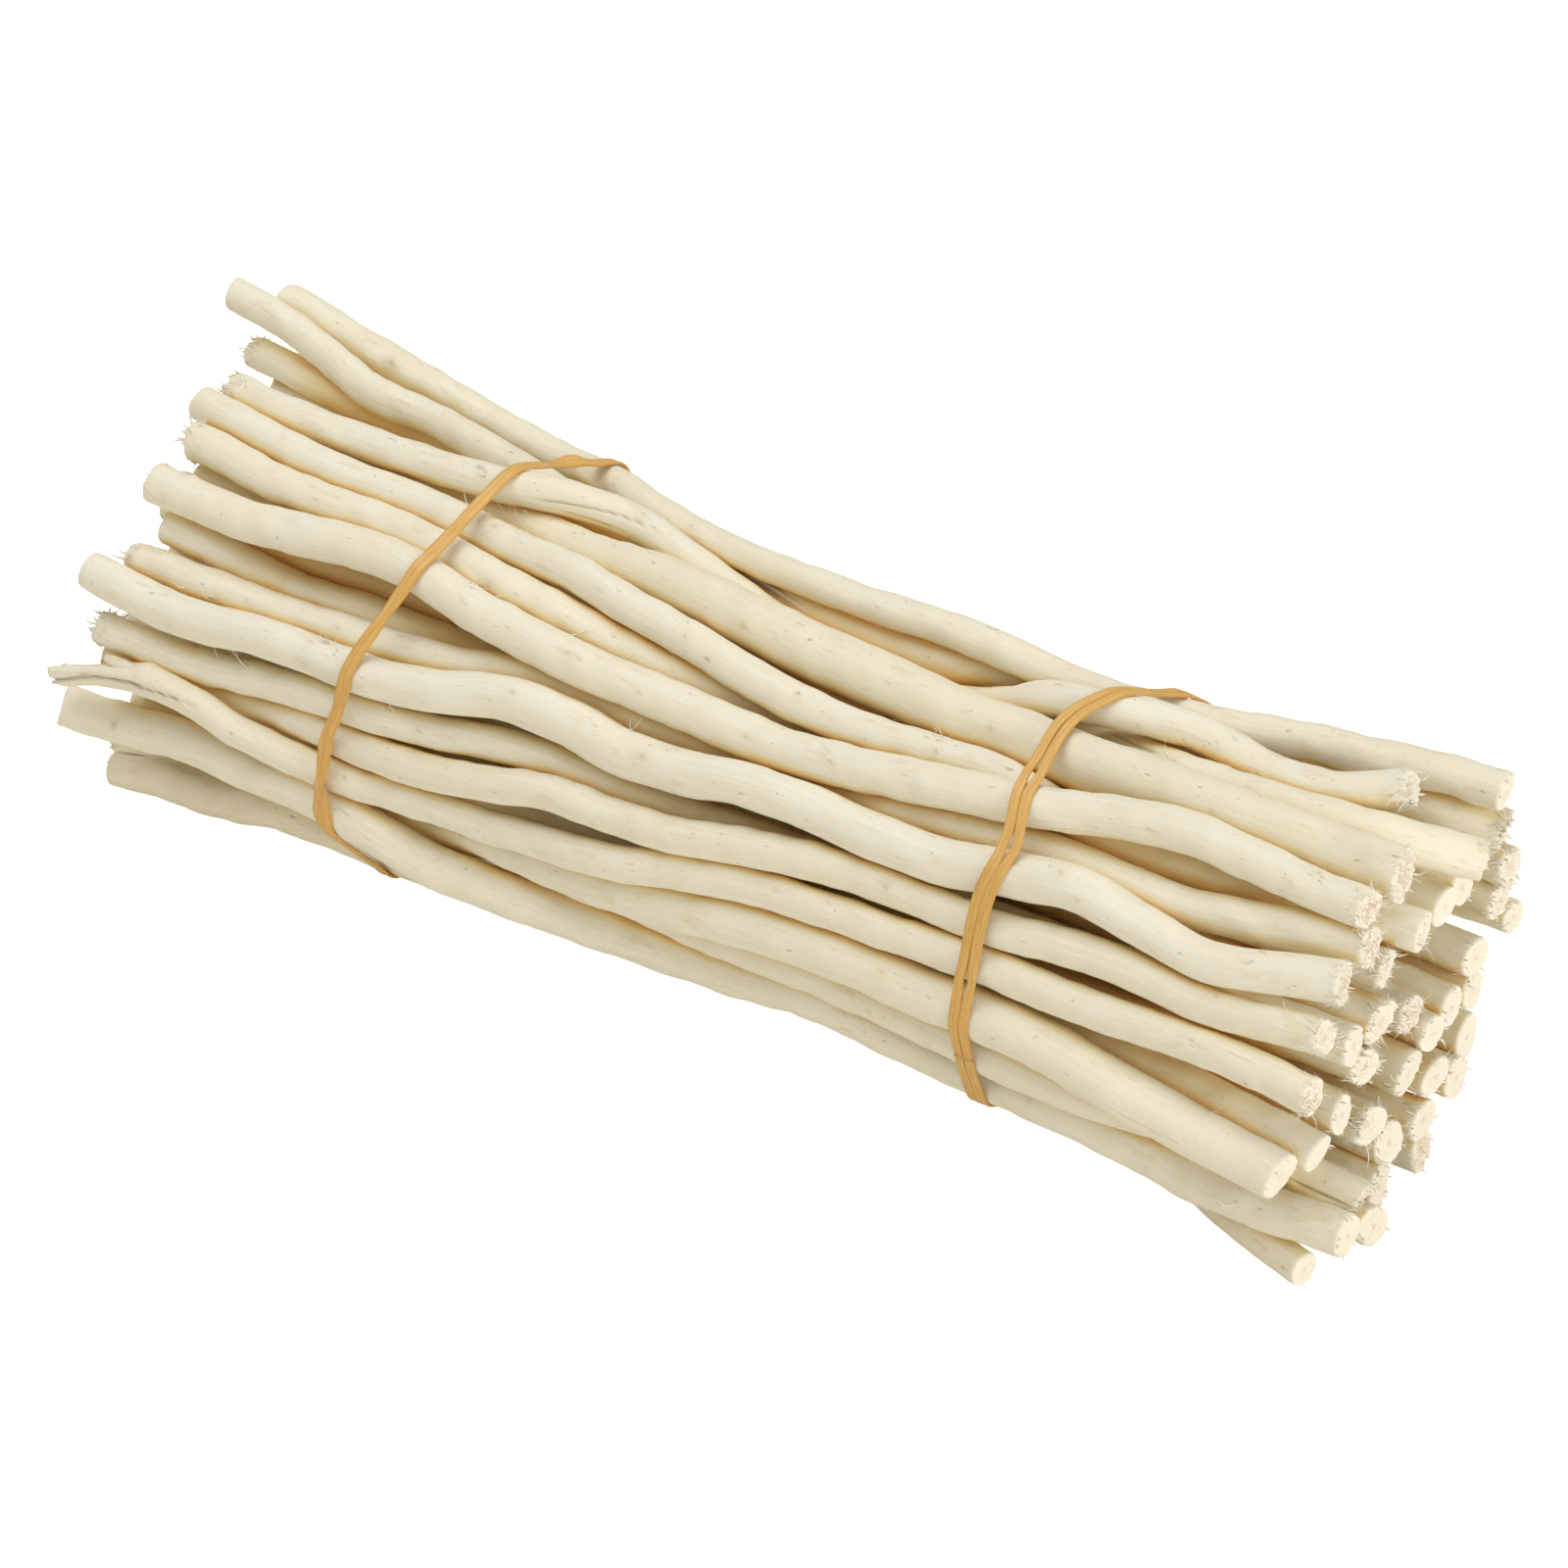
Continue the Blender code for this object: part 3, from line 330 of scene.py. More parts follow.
# Loose fibres along the twigs: the pixel where each tuft starts, its length in mm, its count.
TUFTS = {
    "twig_05": (
        (212, 388, 4.0, 3), (247, 392, 5.0, 5), (483, 474, 3.5, 2), (499, 478, 4.0, 3),
        (1232, 752, 4.0, 3),
    ),
    "twig_07": ((1185, 772, 4.0, 4),),
    "twig_08": ((445, 500, 3.0, 2), (537, 527, 4.0, 3), (512, 518, 3.5, 3), (1165, 790, 3.0, 2)),
    "twig_09": ((480, 510, 3.5, 2), (501, 541, 3.0, 4), (950, 752, 4.0, 4)),
    "twig_10": ((590, 650, 5.0, 2),),
    "twig_11": (
        (178, 470, 6.0, 4), (478, 594, 3.0, 4), (472, 625, 3.0, 3), (497, 601, 3.0, 2),
        (590, 668, 4.0, 2), (845, 775, 4.0, 3), (1345, 890, 3.0, 3),
    ),
    "twig_13": ((216, 572, 3.0, 2),),
    "twig_15": ((186, 598, 4.0, 3), (212, 607, 4.0, 3), (372, 640, 5.0, 2), (255, 615, 3.0, 3)),
    "twig_16": (
        (330, 655, 4.0, 5), (340, 665, 3.0, 4), (640, 745, 4.0, 3), (1062, 880, 3.0, 3),
        (1278, 978, 3.0, 2),
    ),
    "twig_17": ((230, 672, 4.0, 4), (250, 680, 4.0, 4), (316, 690, 3.0, 3), (408, 722, 4.0, 2)),
    "twig_18": ((215, 695, 4.0, 4), (150, 672, 4.0, 3), (1310, 1035, 3.0, 2)),
    "twig_20": ((1245, 1118, 4.0, 2),),
    "twig_21": ((1085, 1090, 3.0, 3), (1255, 1235, 4.0, 3)),
    "twig_23": ((212, 790, 4.0, 3),),
}


# Camera geometry


def shown_at(points):
    """The pixels at which the camera shows points.

    Formula: the offset from the camera, read along its right and down axes, divided by how
    far the point lies in front of it and multiplied by the focal length in pixels.
    """
    offset = points - CAMERA
    away = -(offset @ BACK)
    across = HALF_PICTURE + FOCAL * (offset @ RIGHT) / away
    down = HALF_PICTURE - FOCAL * (offset @ UP) / away
    return across, down


def unit(values):
    """Rows of numbers as vectors of length one."""
    return values / np.sqrt((values * values).sum(axis=1))[:, None]


def gaps_between(points):
    """The distances from each point of a line to the next."""
    return np.sqrt((np.diff(points, axis=0) ** 2).sum(axis=1))


# Reading the CAD nodes


def distinct(node):
    """The different vertices of a CAD node."""
    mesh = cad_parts[node].data
    values = np.empty(len(mesh.vertices) * 3, np.float32)
    mesh.vertices.foreach_get("co", values)
    return np.unique(values.reshape(-1, 3), axis=0).astype(float)


def centre_line(node):
    """A twig's ring centres with the radius as a fourth column, from left to right."""
    points = distinct(node)
    points = points[np.argsort(points[:, 0])].reshape(-1, RING_POINTS, 3)
    centre = points.mean(axis=1)
    reach = points - centre[:, None]
    radius = np.sqrt((reach * reach).sum(axis=2)).mean(axis=1)
    return np.column_stack([centre, radius])


def smooth_line(points, wanted):
    """Places on a smooth curve through points, at the wanted lengths along it.

    Formula: between two points runs the cubic that has both places and both slopes, where a
    slope is that of the parabola through a point and its neighbours.
    """
    gaps = gaps_between(points[:, :3])
    along = np.concatenate([[0.0], np.cumsum(gaps)])
    slope = np.gradient(points, along, axis=0)
    wanted = wanted * along[-1]
    index = np.clip(np.searchsorted(along, wanted, side="right") - 1, 0, len(gaps) - 1)
    gap = gaps[index][:, None]
    t = (wanted - along[index])[:, None] / gap
    first = (1.0 + 2.0 * t) * (1.0 - t) ** 2
    second = t * t * (3.0 - 2.0 * t)
    leave = t * (1.0 - t) ** 2 * gap
    enter = -t * t * (1.0 - t) * gap
    return (
        first * points[index] + second * points[index + 1]
        + leave * slope[index] + enter * slope[index + 1]
    )


def station_shares(length, step, end_zone, end_step):
    """Shares of a length: close together at both ends and wider between them."""
    near = max(2, round(end_zone / end_step))
    middle = max(2, round((length - 2.0 * end_zone) / step))
    low = np.linspace(0.0, end_zone, near, endpoint=False)
    inner = np.linspace(end_zone, length - end_zone, middle, endpoint=False)
    high = np.linspace(length - end_zone, length, near + 1)
    return np.concatenate([low, inner, high]) / length


def axes_along(line):
    """Unit vectors along a line, up from it and to its side, at each of its points."""
    ahead = unit(np.gradient(line, axis=0))
    up = unit(np.array([0.0, 0.0, 1.0]) - ahead[:, 2:3] * ahead)
    return ahead, up, np.cross(ahead, up)


# Surfaces


def waves(rng, s, angle, count, length, turns, size):
    """Smooth lumps over a twig, as a height at each station and angle.

    Formula: a sum of cosines, each with its own wave length along the twig and a whole number
    of turns round it, so that the surface meets itself.
    """
    total = np.zeros((len(s), len(angle)))
    for _ in range(count):
        pace = WHOLE_TURN / (length * rng.uniform(0.55, 1.7))
        round_it = int(rng.integers(-turns, turns + 1))
        phase = rng.uniform(0.0, WHOLE_TURN)
        total += np.cos(pace * s[:, None] + round_it * angle[None] + phase)
    return size * total / math.sqrt(0.5 * count)


def turn_between(angle, centre):
    """The turn from one angle to another, between minus and plus half a turn."""
    return (angle - centre + math.pi) % WHOLE_TURN - math.pi


def closed_tube(rings, sides):
    """Faces of a tube of rings, closed at each end by a point: the first and the last one."""
    index = np.arange(rings * sides).reshape(rings, sides) + 1
    after = np.roll(index, -1, axis=1)
    quads = np.stack([index[:-1], index[1:], after[1:], after[:-1]], axis=-1).reshape(-1, 4)
    low = np.stack([np.zeros(sides, int), index[0], after[0]], axis=-1)
    top = np.full(sides, rings * sides + 1)
    high = np.stack([index[-1], top, after[-1]], axis=-1)
    return [quads, low, high]


def put_mesh(name, points, faces, material):
    """A mesh object at the origin from whole arrays of points and faces."""
    mesh = bpy.data.meshes.new(name)
    corners = np.concatenate([part.ravel() for part in faces]).astype(np.int32)
    sizes = np.concatenate([np.full(len(part), part.shape[1]) for part in faces])
    starts = np.concatenate([[0], np.cumsum(sizes)[:-1]]).astype(np.int32)
    mesh.vertices.add(len(points))
    mesh.vertices.foreach_set("co", np.ascontiguousarray(points, np.float32).ravel())
    mesh.loops.add(len(corners))
    mesh.loops.foreach_set("vertex_index", corners)
    mesh.polygons.add(len(sizes))
    mesh.polygons.foreach_set("loop_start", starts)
    mesh.update(calc_edges=True)
    mesh.validate()
    mesh.shade_smooth()
    mesh.materials.append(material)
    thing = bpy.data.objects.new(name, mesh)
    bpy.context.scene.collection.objects.link(thing)
    return thing


def put_values(mesh, name, values):
    """Stores one number or one vector for each vertex under a name."""
    kind = "FLOAT_VECTOR" if values.ndim == 2 else "FLOAT"
    field = "vector" if values.ndim == 2 else "value"
    layer = mesh.attributes.new(name, kind, "POINT")
    layer.data.foreach_set(field, np.ascontiguousarray(values, np.float32).ravel())


# Twigs


class Twig:
    """One twig's centre line, axes, stations and angles, ready to be shaped."""

    def __init__(self, number, settings):
        self.number = number
        self.name = f"twig_{number:02d}"
        seen = number <= SEEN_TWIGS
        self.rng = np.random.default_rng(FIRST_TWIG_SEED + number)
        points = centre_line(self.name)
        self.length = float(gaps_between(points[:, :3]).sum())
        step = settings.ring_spacing if seen else settings.hidden_ring_spacing
        self.sides = settings.sides if seen else settings.hidden_sides
        close = settings.ring_spacing * END_SPACING
        shares = station_shares(self.length, step, END_ZONE, close)
        line = smooth_line(points, shares)
        self.s = shares * self.length
        self.line = line[:, :3]
        self.radius = line[:, 3]
        self.ahead, self.up, self.side = axes_along(self.line)
        self.angle = np.arange(self.sides) * (WHOLE_TURN / self.sides)
        for crack in CRACKS.get(self.name, ())[:1]:
            turn = self.find(0.5 * (crack[0] + crack[2]), 0.5 * (crack[1] + crack[3]))[1]
            self.angle = self.angle - CRACK_GATHERING * np.sin(self.angle - turn)

    def rays(self):
        """The way out from the centre line at each station and angle."""
        return (
            np.cos(self.angle)[None, :, None] * self.up[:, None]
            + np.sin(self.angle)[None, :, None] * self.side[:, None]
        )

    def ray(self, rows, turns):
        """The way out from the centre line at single stations and angles."""
        return np.cos(turns)[:, None] * self.up[rows] + np.sin(turns)[:, None] * self.side[rows]

    def round_from(self, turn):
        """The distance round the twig from an angle, at each station and angle."""
        return turn_between(self.angle[None], turn) * self.radius[:, None]

    def kind(self, end):
        """The sizes of the cut at one end, left 0 or right 1."""
        return CUTS[ENDS.get(self.name, OTHER_ENDS)[end]]

    def end_ring(self, end):
        """One end's station, its rim's points and the way out of the twig there."""
        station = -1 if end else 0
        return station, self.points[station], self.ahead[station] * (1.0 if end else -1.0)

    def find(self, across, down):
        """The station length and angle where the photograph shows a place on this twig.

        Formula: of the points of the plain round twig that face the camera, the one whose
        pixel is nearest.
        """
        rays = self.rays()
        points = self.line[:, None] + rays * self.radius[:, None, None]
        shown = shown_at(points)
        far = (shown[0] - across) ** 2 + (shown[1] - down) ** 2
        facing = ((CAMERA - points) * rays).sum(axis=2) > 0.0
        far = np.where(facing, far, FAR_OFF)
        row, column = np.unravel_index(int(far.argmin()), far.shape)
        return float(self.s[row]), float(self.angle[column])

    def relief(self, settings):
        """How far the surface stands out from the plain round twig, in metres."""
        rng, s, angle = self.rng, self.s, self.angle
        swell = waves(rng, s, angle[:1] * 0.0, 5, 0.09, 0, 0.02)
        radius = self.radius[:, None] * (1.0 + swell)
        oval = rng.uniform(0.015, 0.045)
        twist = rng.uniform(-4.0, 4.0)
        phase = rng.uniform(0.0, WHOLE_TURN)
        shape = oval * np.cos(2.0 * angle[None] + twist * s[:, None] + phase)
        height = radius * (1.0 + shape) - self.radius[:, None]
        height = height + waves(rng, s, angle, 12, 0.018, 3, settings.lump)
        height = height + waves(rng, s, angle, 10, 0.006, 6, 0.22 * settings.lump)
        self.eyes = np.zeros_like(height)
        for across, down, width, tall in KNOTS.get(self.name, ()):
            place, turn = self.find(across, down)
            height = height + self.knot(place, turn, width * MM, tall * MM)
        for across, down, width, tall in SWELLINGS.get(self.name, ()):
            height = height + self.swelling(*self.find(across, down), width * MM, tall * MM)
        for _ in range(settings.small_knots):
            place = rng.uniform(0.04, 0.96) * self.length
            width = rng.uniform(1.6, 3.4) * MM
            turn = rng.uniform(0.0, WHOLE_TURN)
            height = height + self.knot(place, turn, width, rng.uniform(0.08, 0.28) * MM)
        # split: the cracks' mask, which the wood material paints dark as painted shade in the
        # cracks
        self.split = np.zeros_like(height)
        for *place, width, deep in CRACKS.get(self.name, ()):
            groove = self.crack(*place, width * MM, deep * MM)
            self.split = np.maximum(self.split, (groove / (deep * MM)) ** 2)
            height = height - groove
        for *place, width, thick, low, _ in SPLINTERS.get(self.name, ()):
            if low < 0.0:
                height = height - self.shave(*place, width * MM, thick * MM)
        return height

    def knot(self, place, turn, width, tall):
        """A knot: a swelling with a small sunken eye.

        Formula: a bell curve over the distance from the knot's place, longer along the twig,
        less a narrower bell curve in its middle.
        """
        along = (self.s[:, None] - place) / (0.75 * width)
        round_it = self.round_from(turn) / (0.5 * width)
        far = along * along + round_it * round_it
        eye = np.exp(-9.0 * far)
        halo = 0.16 * np.exp(-1.5 * far)
        strength = min(1.0, tall / (0.4 * MM))
        self.eyes = np.maximum(self.eyes, np.maximum(0.7 * eye, halo) * strength)
        return tall * (np.exp(-0.9 * far) - 0.45 * eye)

    def swelling(self, place, turn, width, tall):
        """A broad lump: a bell curve over the distance from its middle."""
        along = (self.s[:, None] - place) / width
        round_it = self.round_from(turn) / (0.6 * width)
        return tall * np.exp(-along * along - round_it * round_it)

    def shave(self, across, down, across_tip, down_tip, width, thick):
        """How far the surface is shaved off under a splinter that has split from it.

        Formula: the splinter's thickness times a bell curve over the distance from its line,
        growing from its root to its tip.
        """
        root, turn_root = self.find(across, down)
        tip, turn_tip = self.find(across_tip, down_tip)
        share = np.clip((self.s - root) / (tip - root), 0.0, 1.0)
        turn = turn_root + turn_between(turn_tip, turn_root) * share
        off = self.round_from(turn[:, None])
        under = np.exp(-((off / (0.75 * width)) ** 2))
        return thick * under * (share * (2.0 - share))[:, None]

    def crack(self, across, down, across_end, down_end, width, deep):
        """A crack along the twig: a groove that is widest in its middle.

        Formula: a bell curve over the distance from a line between the two places, times a
        rise and fall along it.
        """
        first, turn_first = self.find(across, down)
        last, turn_last = self.find(across_end, down_end)
        share = (self.s - first) / max(last - first, 0.002)
        turn = turn_first + turn_between(turn_last, turn_first) * np.clip(share, 0.0, 1.0)
        off = self.round_from(turn[:, None])
        open_there = np.clip(share * 6.0 + 0.4, 0.0, 1.0) * np.clip((1.0 - share) * 3.0, 0.0, 1.0)
        groove = np.exp(-0.5 * (off / (0.5 * width)) ** 2)
        return deep * groove * open_there[:, None]

    def patches(self):
        """How dirty the surface is at each station and angle."""
        total = np.zeros((len(self.s), len(self.angle)))
        for across, down, length, width, strength in DIRT.get(self.name, ()):
            place, turn = self.find(across, down)
            along = (self.s[:, None] - place) / (0.5 * length * MM)
            far = along * along + (self.round_from(turn) / (0.5 * width * MM)) ** 2
            total = np.maximum(total, strength * np.exp(-0.8 * far))
        return total

    def cut(self, end):
        """The slope of one cut end and its rim's raggedness."""
        lean = self.rng.uniform(-0.16, 0.16, 2)
        slant = SLANTS.get(self.name, (None, None))[end]
        lean = lean if slant is None else np.array(slant)
        teeth = self.rng.normal(0.0, 0.8, self.sides)
        slow = np.cos(3.0 * self.angle + self.rng.uniform(0.0, 6.0))
        return lean, (teeth + 0.6 * slow) * self.kind(end)[0] * MM

    def cap(self, end):
        """The rings of one cut face, from the rim inwards, and its middle point.

        Formula: each ring is the rim drawn in towards the centre, moved along the twig by a
        shallow saw mark pattern and a small hollow at the pith.
        """
        _, rim, way = self.end_ring(end)
        middle = rim.mean(axis=0)
        shares = CAP_SHARES[:, None]
        reach = rim - middle
        rings = middle + reach[None] * shares[..., None]
        angle = self.angle[None]
        rough = self.rng.normal(0.0, 0.75, (len(CAP_SHARES), self.sides))
        rough = rough * np.clip(shares * 2.5, 0.0, 1.0)
        for _ in range(10):
            pace = self.rng.uniform(5.0, 18.0)
            turn = self.rng.uniform(0.0, WHOLE_TURN)
            phase = self.rng.uniform(0.0, WHOLE_TURN)
            rough += 0.3 * np.cos(pace * shares * np.cos(angle - turn) + phase)
        rough = rough * self.kind(end)[1] * MM * (1.0 - shares ** 6)
        pith = -PITH_DEPTH * np.exp(-((shares / 0.13) ** 2))
        rings = rings + way * (rough + pith)[..., None]
        return rings, middle + way * (rough[-1].mean() - PITH_DEPTH)

    def build(self, settings, material):
        """The finished twig as one closed mesh with its own grain coordinates."""
        self.reach = self.radius[:, None] + self.relief(settings)
        rays = self.rays()
        self.points = self.line[:, None] + rays * self.reach[..., None]
        dirt = self.patches()
        # the mask of the painted shade between twigs and deep in the bundle
        gap_shade = self.gap_shade(self.points)
        for end in (0, 1):
            lean, ragged = self.cut(end)
            from_end = self.s if end == 0 else self.length - self.s
            zone = np.clip(1.0 - from_end / (2.2 * self.radius.mean()), 0.0, 1.0) ** 2
            slope = lean[0] * np.cos(self.angle) + lean[1] * np.sin(self.angle)
            radius = self.radius[0 if end == 0 else -1]
            lag = zone[:, None] * (slope * radius)[None]
            close = np.clip(1.0 - from_end / (1.2 * MM), 0.0, 1.0)
            lag = lag + close[:, None] * ragged[None]
            way = self.ahead[:, None] * (1.0 if end else -1.0)
            self.points = self.points + way * lag[..., None]
            rounding = np.clip(1.0 - from_end / (0.5 * MM), 0.0, 1.0) ** 2 * 0.22 * MM
            self.points = self.points - rays * rounding[:, None, None]
        low, low_tip = self.cap(0)
        high, high_tip = self.cap(1)
        rings = np.concatenate([low[::-1], self.points, high])
        points = np.concatenate([low_tip[None], rings.reshape(-1, 3), high_tip[None]])
        faces = closed_tube(len(rings), self.sides)
        thing = put_mesh(self.name + "_wood", points, faces, material)
        self.paint(thing.data, dirt, gap_shade)
        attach(thing, "root")
        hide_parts(self.name)

    def gap_shade(self, points):
        """How closely the surface faces other twigs, from 0 in the open to 1 in a gap: the mask of
        the painted shade in the gaps between twigs and deep in the bundle.

        Formula: from points at three distances outside the surface, each other twig's round
        surface at the same x closes off a share that falls off with its distance. What is left
        open shrinks with the depth below the bundle's outer skin.
        """
        rays = self.rays()
        index = np.round((points[..., 0] - LINES_START) / LINES_STEP).astype(int)
        index = np.clip(index, 0, LINES_COUNT - 1)
        open_share = np.ones(points.shape[:2])
        for reach, fade, share in GAP_SHADE_STEPS:
            outside = points + rays * reach * MM
            for number, other in enumerate(LINES, start=1):
                if number == self.number:
                    continue
                place = other[index]
                off = np.hypot(outside[..., 1] - place[..., 0], outside[..., 2] - place[..., 1])
                near = np.exp(-np.maximum(off - place[..., 2], 0.0) / (fade * MM))
                open_share *= 1.0 - share * near
        across = points[..., 1:] - BUNDLE_CENTRE[1:]
        turn = np.arctan2(across[..., 1], across[..., 0]) * (SKIN_TURNS / WHOLE_TURN)
        skin = SKIN[index, np.round(turn).astype(int) % SKIN_TURNS]
        deep = (skin - np.hypot(across[..., 0], across[..., 1])) / MM - SKIN_DEPTH
        deep = np.clip(deep, 0.0, SKIN_FADE) / SKIN_FADE
        from_end = np.minimum(self.s, self.length - self.s)[:, None]
        open_share *= 1.0 - SKIN_SHARE * deep * np.clip(from_end / 0.03, 0.3, 1.0)
        return 1.0 - open_share

    def paint(self, mesh, dirt, gap_shade):
        """Stores the grain coordinates, the tone and the masks that the wood material reads."""
        inner = len(CAP_SHARES)
        shares = np.concatenate([
            np.repeat(CAP_SHARES[::-1, None], self.sides, axis=1),
            np.ones((len(self.s), self.sides)),
            np.repeat(CAP_SHARES[:, None], self.sides, axis=1),
        ])
        s = np.concatenate([np.zeros(inner), self.s, np.full(inner, self.length)])
        reach = np.concatenate([
            np.repeat(self.reach[:1], inner, axis=0), self.reach,
            np.repeat(self.reach[-1:], inner, axis=0),
        ]) * shares
        moved, aside = GRAIN_ALONG * self.number, GRAIN_ACROSS * self.number
        grain = np.stack([
            np.repeat(s[:, None] + moved, self.sides, axis=1),
            reach * np.cos(self.angle)[None] + aside,
            reach * np.sin(self.angle)[None],
        ], axis=-1).reshape(-1, 3)
        first = np.array([[moved, aside, 0.0]])
        last = first + np.array([[self.length, 0.0, 0.0]])
        put_values(mesh, "grain", np.concatenate([first, grain, last]))
        rough = np.zeros_like(shares)
        rough[:inner] = self.kind(0)[2]
        rough[-inner:] = self.kind(1)[2]
        cut = (shares < 0.999).astype(float)
        from_end = np.minimum(s, self.length - s)
        fresh = np.exp(-from_end / (0.35 * MM))[:, None] * np.exp(-(1.0 - shares) / 0.05)
        masks = [
            ("cut", cut, 1.0), ("rough_end", rough, 0.5), ("middle", 1.0 - shares, 1.0),
            ("fresh", fresh, 0.0),
        ]
        # gap holds the painted shade between twigs and deep in the bundle
        # split holds the painted shade in the cracks
        for name, values in (
            ("dirt", dirt), ("gap", gap_shade), ("knot", self.eyes), ("split", self.split),
        ):
            masks.append((name, np.pad(values, ((inner, inner), (0, 0))), 0.0))
        for name, values, tip in masks:
            put_values(mesh, name, np.concatenate([[tip], values.ravel(), [tip]]))
        # the tone is partly painted shade: more tan for twigs deep or low in the bundle
        tone_with_shade = TONES_WITH_SHADE.get(self.name, self.rng.uniform(0.3, 0.9))
        put_values(mesh, "tone_with_shade", np.full(len(mesh.vertices), tone_with_shade))


TWIGS = []
# every twig's line at even steps of x, and the place it gets where the twig isn't there
LINES = []
LINES_START = -0.24
LINES_STEP = 0.0005
LINES_COUNT = 960
NOT_THERE = 9.0
# the bundle's outer skin at each step and in each direction, and how far beside it a twig counts
SKIN_TURNS = 90
SKIN_REACH = 8.0 * MM
SKIN = np.zeros((LINES_COUNT, SKIN_TURNS))


def read_lines():
    """Every twig's y, z and radius at even steps of x, far away where it isn't there.

    SKIN keeps the bundle's outer skin: at each x and in each direction from the bundle's
    middle, the furthest surface of the twigs that lie near that direction.
    """
    x = LINES_START + np.arange(LINES_COUNT) * LINES_STEP
    LINES.clear()
    for number in range(1, TWIG_COUNT + 1):
        line = centre_line(f"twig_{number:02d}")
        values = np.stack([np.interp(x, line[:, 0], line[:, k]) for k in (1, 2, 3)], axis=1)
        gone = (x < line[0, 0]) | (x > line[-1, 0])
        values[gone] = (NOT_THERE, NOT_THERE, 0.0)
        LINES.append(values)
    held = np.array(LINES)
    place = held[..., :2] - BUNDLE_CENTRE[1:]
    for column in range(SKIN_TURNS):
        turn = column * (WHOLE_TURN / SKIN_TURNS)
        along = place @ np.array([math.cos(turn), math.sin(turn)])
        beside = np.abs(place @ np.array([-math.sin(turn), math.cos(turn)]))
        met = (beside < held[..., 2] + SKIN_REACH) & (held[..., 0] < NOT_THERE)
        SKIN[:, column] = np.where(met, along + held[..., 2], 0.0).max(axis=0)


# Fibres


def strands(starts, ways, lifts, lengths, widths, curls):
    """Thin tapering strands as one array of points and its faces.

    Formula: each strand's line starts at a place, runs along its way and bends towards its
    lift with the square of the share of its length, with a side curl that grows with the
    cube. A flat four-sided section, drawn in towards the tip, is carried along that line. No
    point lies in the floor.
    """
    count = len(starts)
    share = np.linspace(0.0, 1.0, STRAND_RINGS)[None, :, None]
    side = np.cross(ways, lifts)
    side = side / np.maximum(np.sqrt((side * side).sum(axis=1)), 1e-9)[:, None]
    length = lengths[:, None, None]
    bend, curl = curls[:, 0][:, None, None], curls[:, 1][:, None, None]
    line = (
        starts[:, None]
        + ways[:, None] * length * (share - 0.35 * np.abs(bend) * share ** 2)
        + lifts[:, None] * length * bend * share ** 2
        + side[:, None] * length * curl * share ** 3
    )
    taper = 1.0 - 0.8 * share ** 1.5
    wide = widths[:, 0][:, None, None] * taper
    thin = widths[:, 1][:, None, None] * taper
    section = [
        line + side[:, None] * wide, line + lifts[:, None] * thin,
        line - side[:, None] * wide, line - lifts[:, None] * thin,
    ]
    points = np.stack(section, axis=2).reshape(-1, 3)
    points[:, 2] = np.maximum(points[:, 2], LOWEST_FIBRE)
    index = np.arange(count * STRAND_RINGS * 4).reshape(count, STRAND_RINGS, 4)
    after = np.roll(index, -1, axis=2)
    quads = np.stack(
        [index[:, :-1], after[:, :-1], after[:, 1:], index[:, 1:]], axis=-1
    ).reshape(-1, 4)
    low = index[:, 0, ::-1].reshape(-1, 4)
    high = index[:, -1].reshape(-1, 4)
    return points, [np.concatenate([quads, low, high])]


def put_strands(name, parts, material):
    """Joins tufts of strands into one piece that rides on the bundle."""
    values = [np.concatenate(column) for column in zip(*parts)]
    points, faces = strands(*values)
    thing = put_mesh(name, points, faces, material)
    put_values(thing.data, "grain", points)
    put_values(thing.data, "fresh", np.ones(len(points)))
    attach(thing, "root")


def rim_strands(twig, end):
    """Torn fibres round the rim of one cut end."""
    rng = twig.rng
    station, rim, out = twig.end_ring(end)
    count = int(twig.kind(end)[3] * (0.6 + 0.8 * rng.random()))
    columns = np.sort(rng.integers(0, twig.sides, count))
    rays = twig.rays()[station][columns]
    back = rng.random(count) < 0.55
    starts = rim[columns] + rays * np.where(back, 0.03, -0.12)[:, None] * MM
    way = np.where(back[:, None], -out[None], out[None])
    lift = np.where(back, rng.uniform(0.04, 0.4, count), rng.uniform(0.05, 0.8, count))
    ways = unit(way + rays * lift[:, None] + rng.normal(0.0, 0.25, (count, 3)))
    longer = LONG_FIBRES.get(twig.name, (1.0, 1.0))[end]
    lengths = (rng.gamma(2.0, 0.6, count) + 0.4) * longer * MM
    broad = np.where(rng.random(count) < 0.35, rng.uniform(0.14, 0.36, count), 0.06)
    broad = broad + rng.uniform(0.0, 0.05, count)
    widths = np.stack([broad, rng.uniform(0.04, 0.07, count)], axis=1)
    curls = np.stack([
        np.where(back, rng.uniform(0.0, 0.8, count), rng.uniform(-0.4, 1.1, count)),
        rng.uniform(-0.9, 0.9, count),
    ], axis=1)
    return starts, ways, rays, lengths, widths * MM, curls


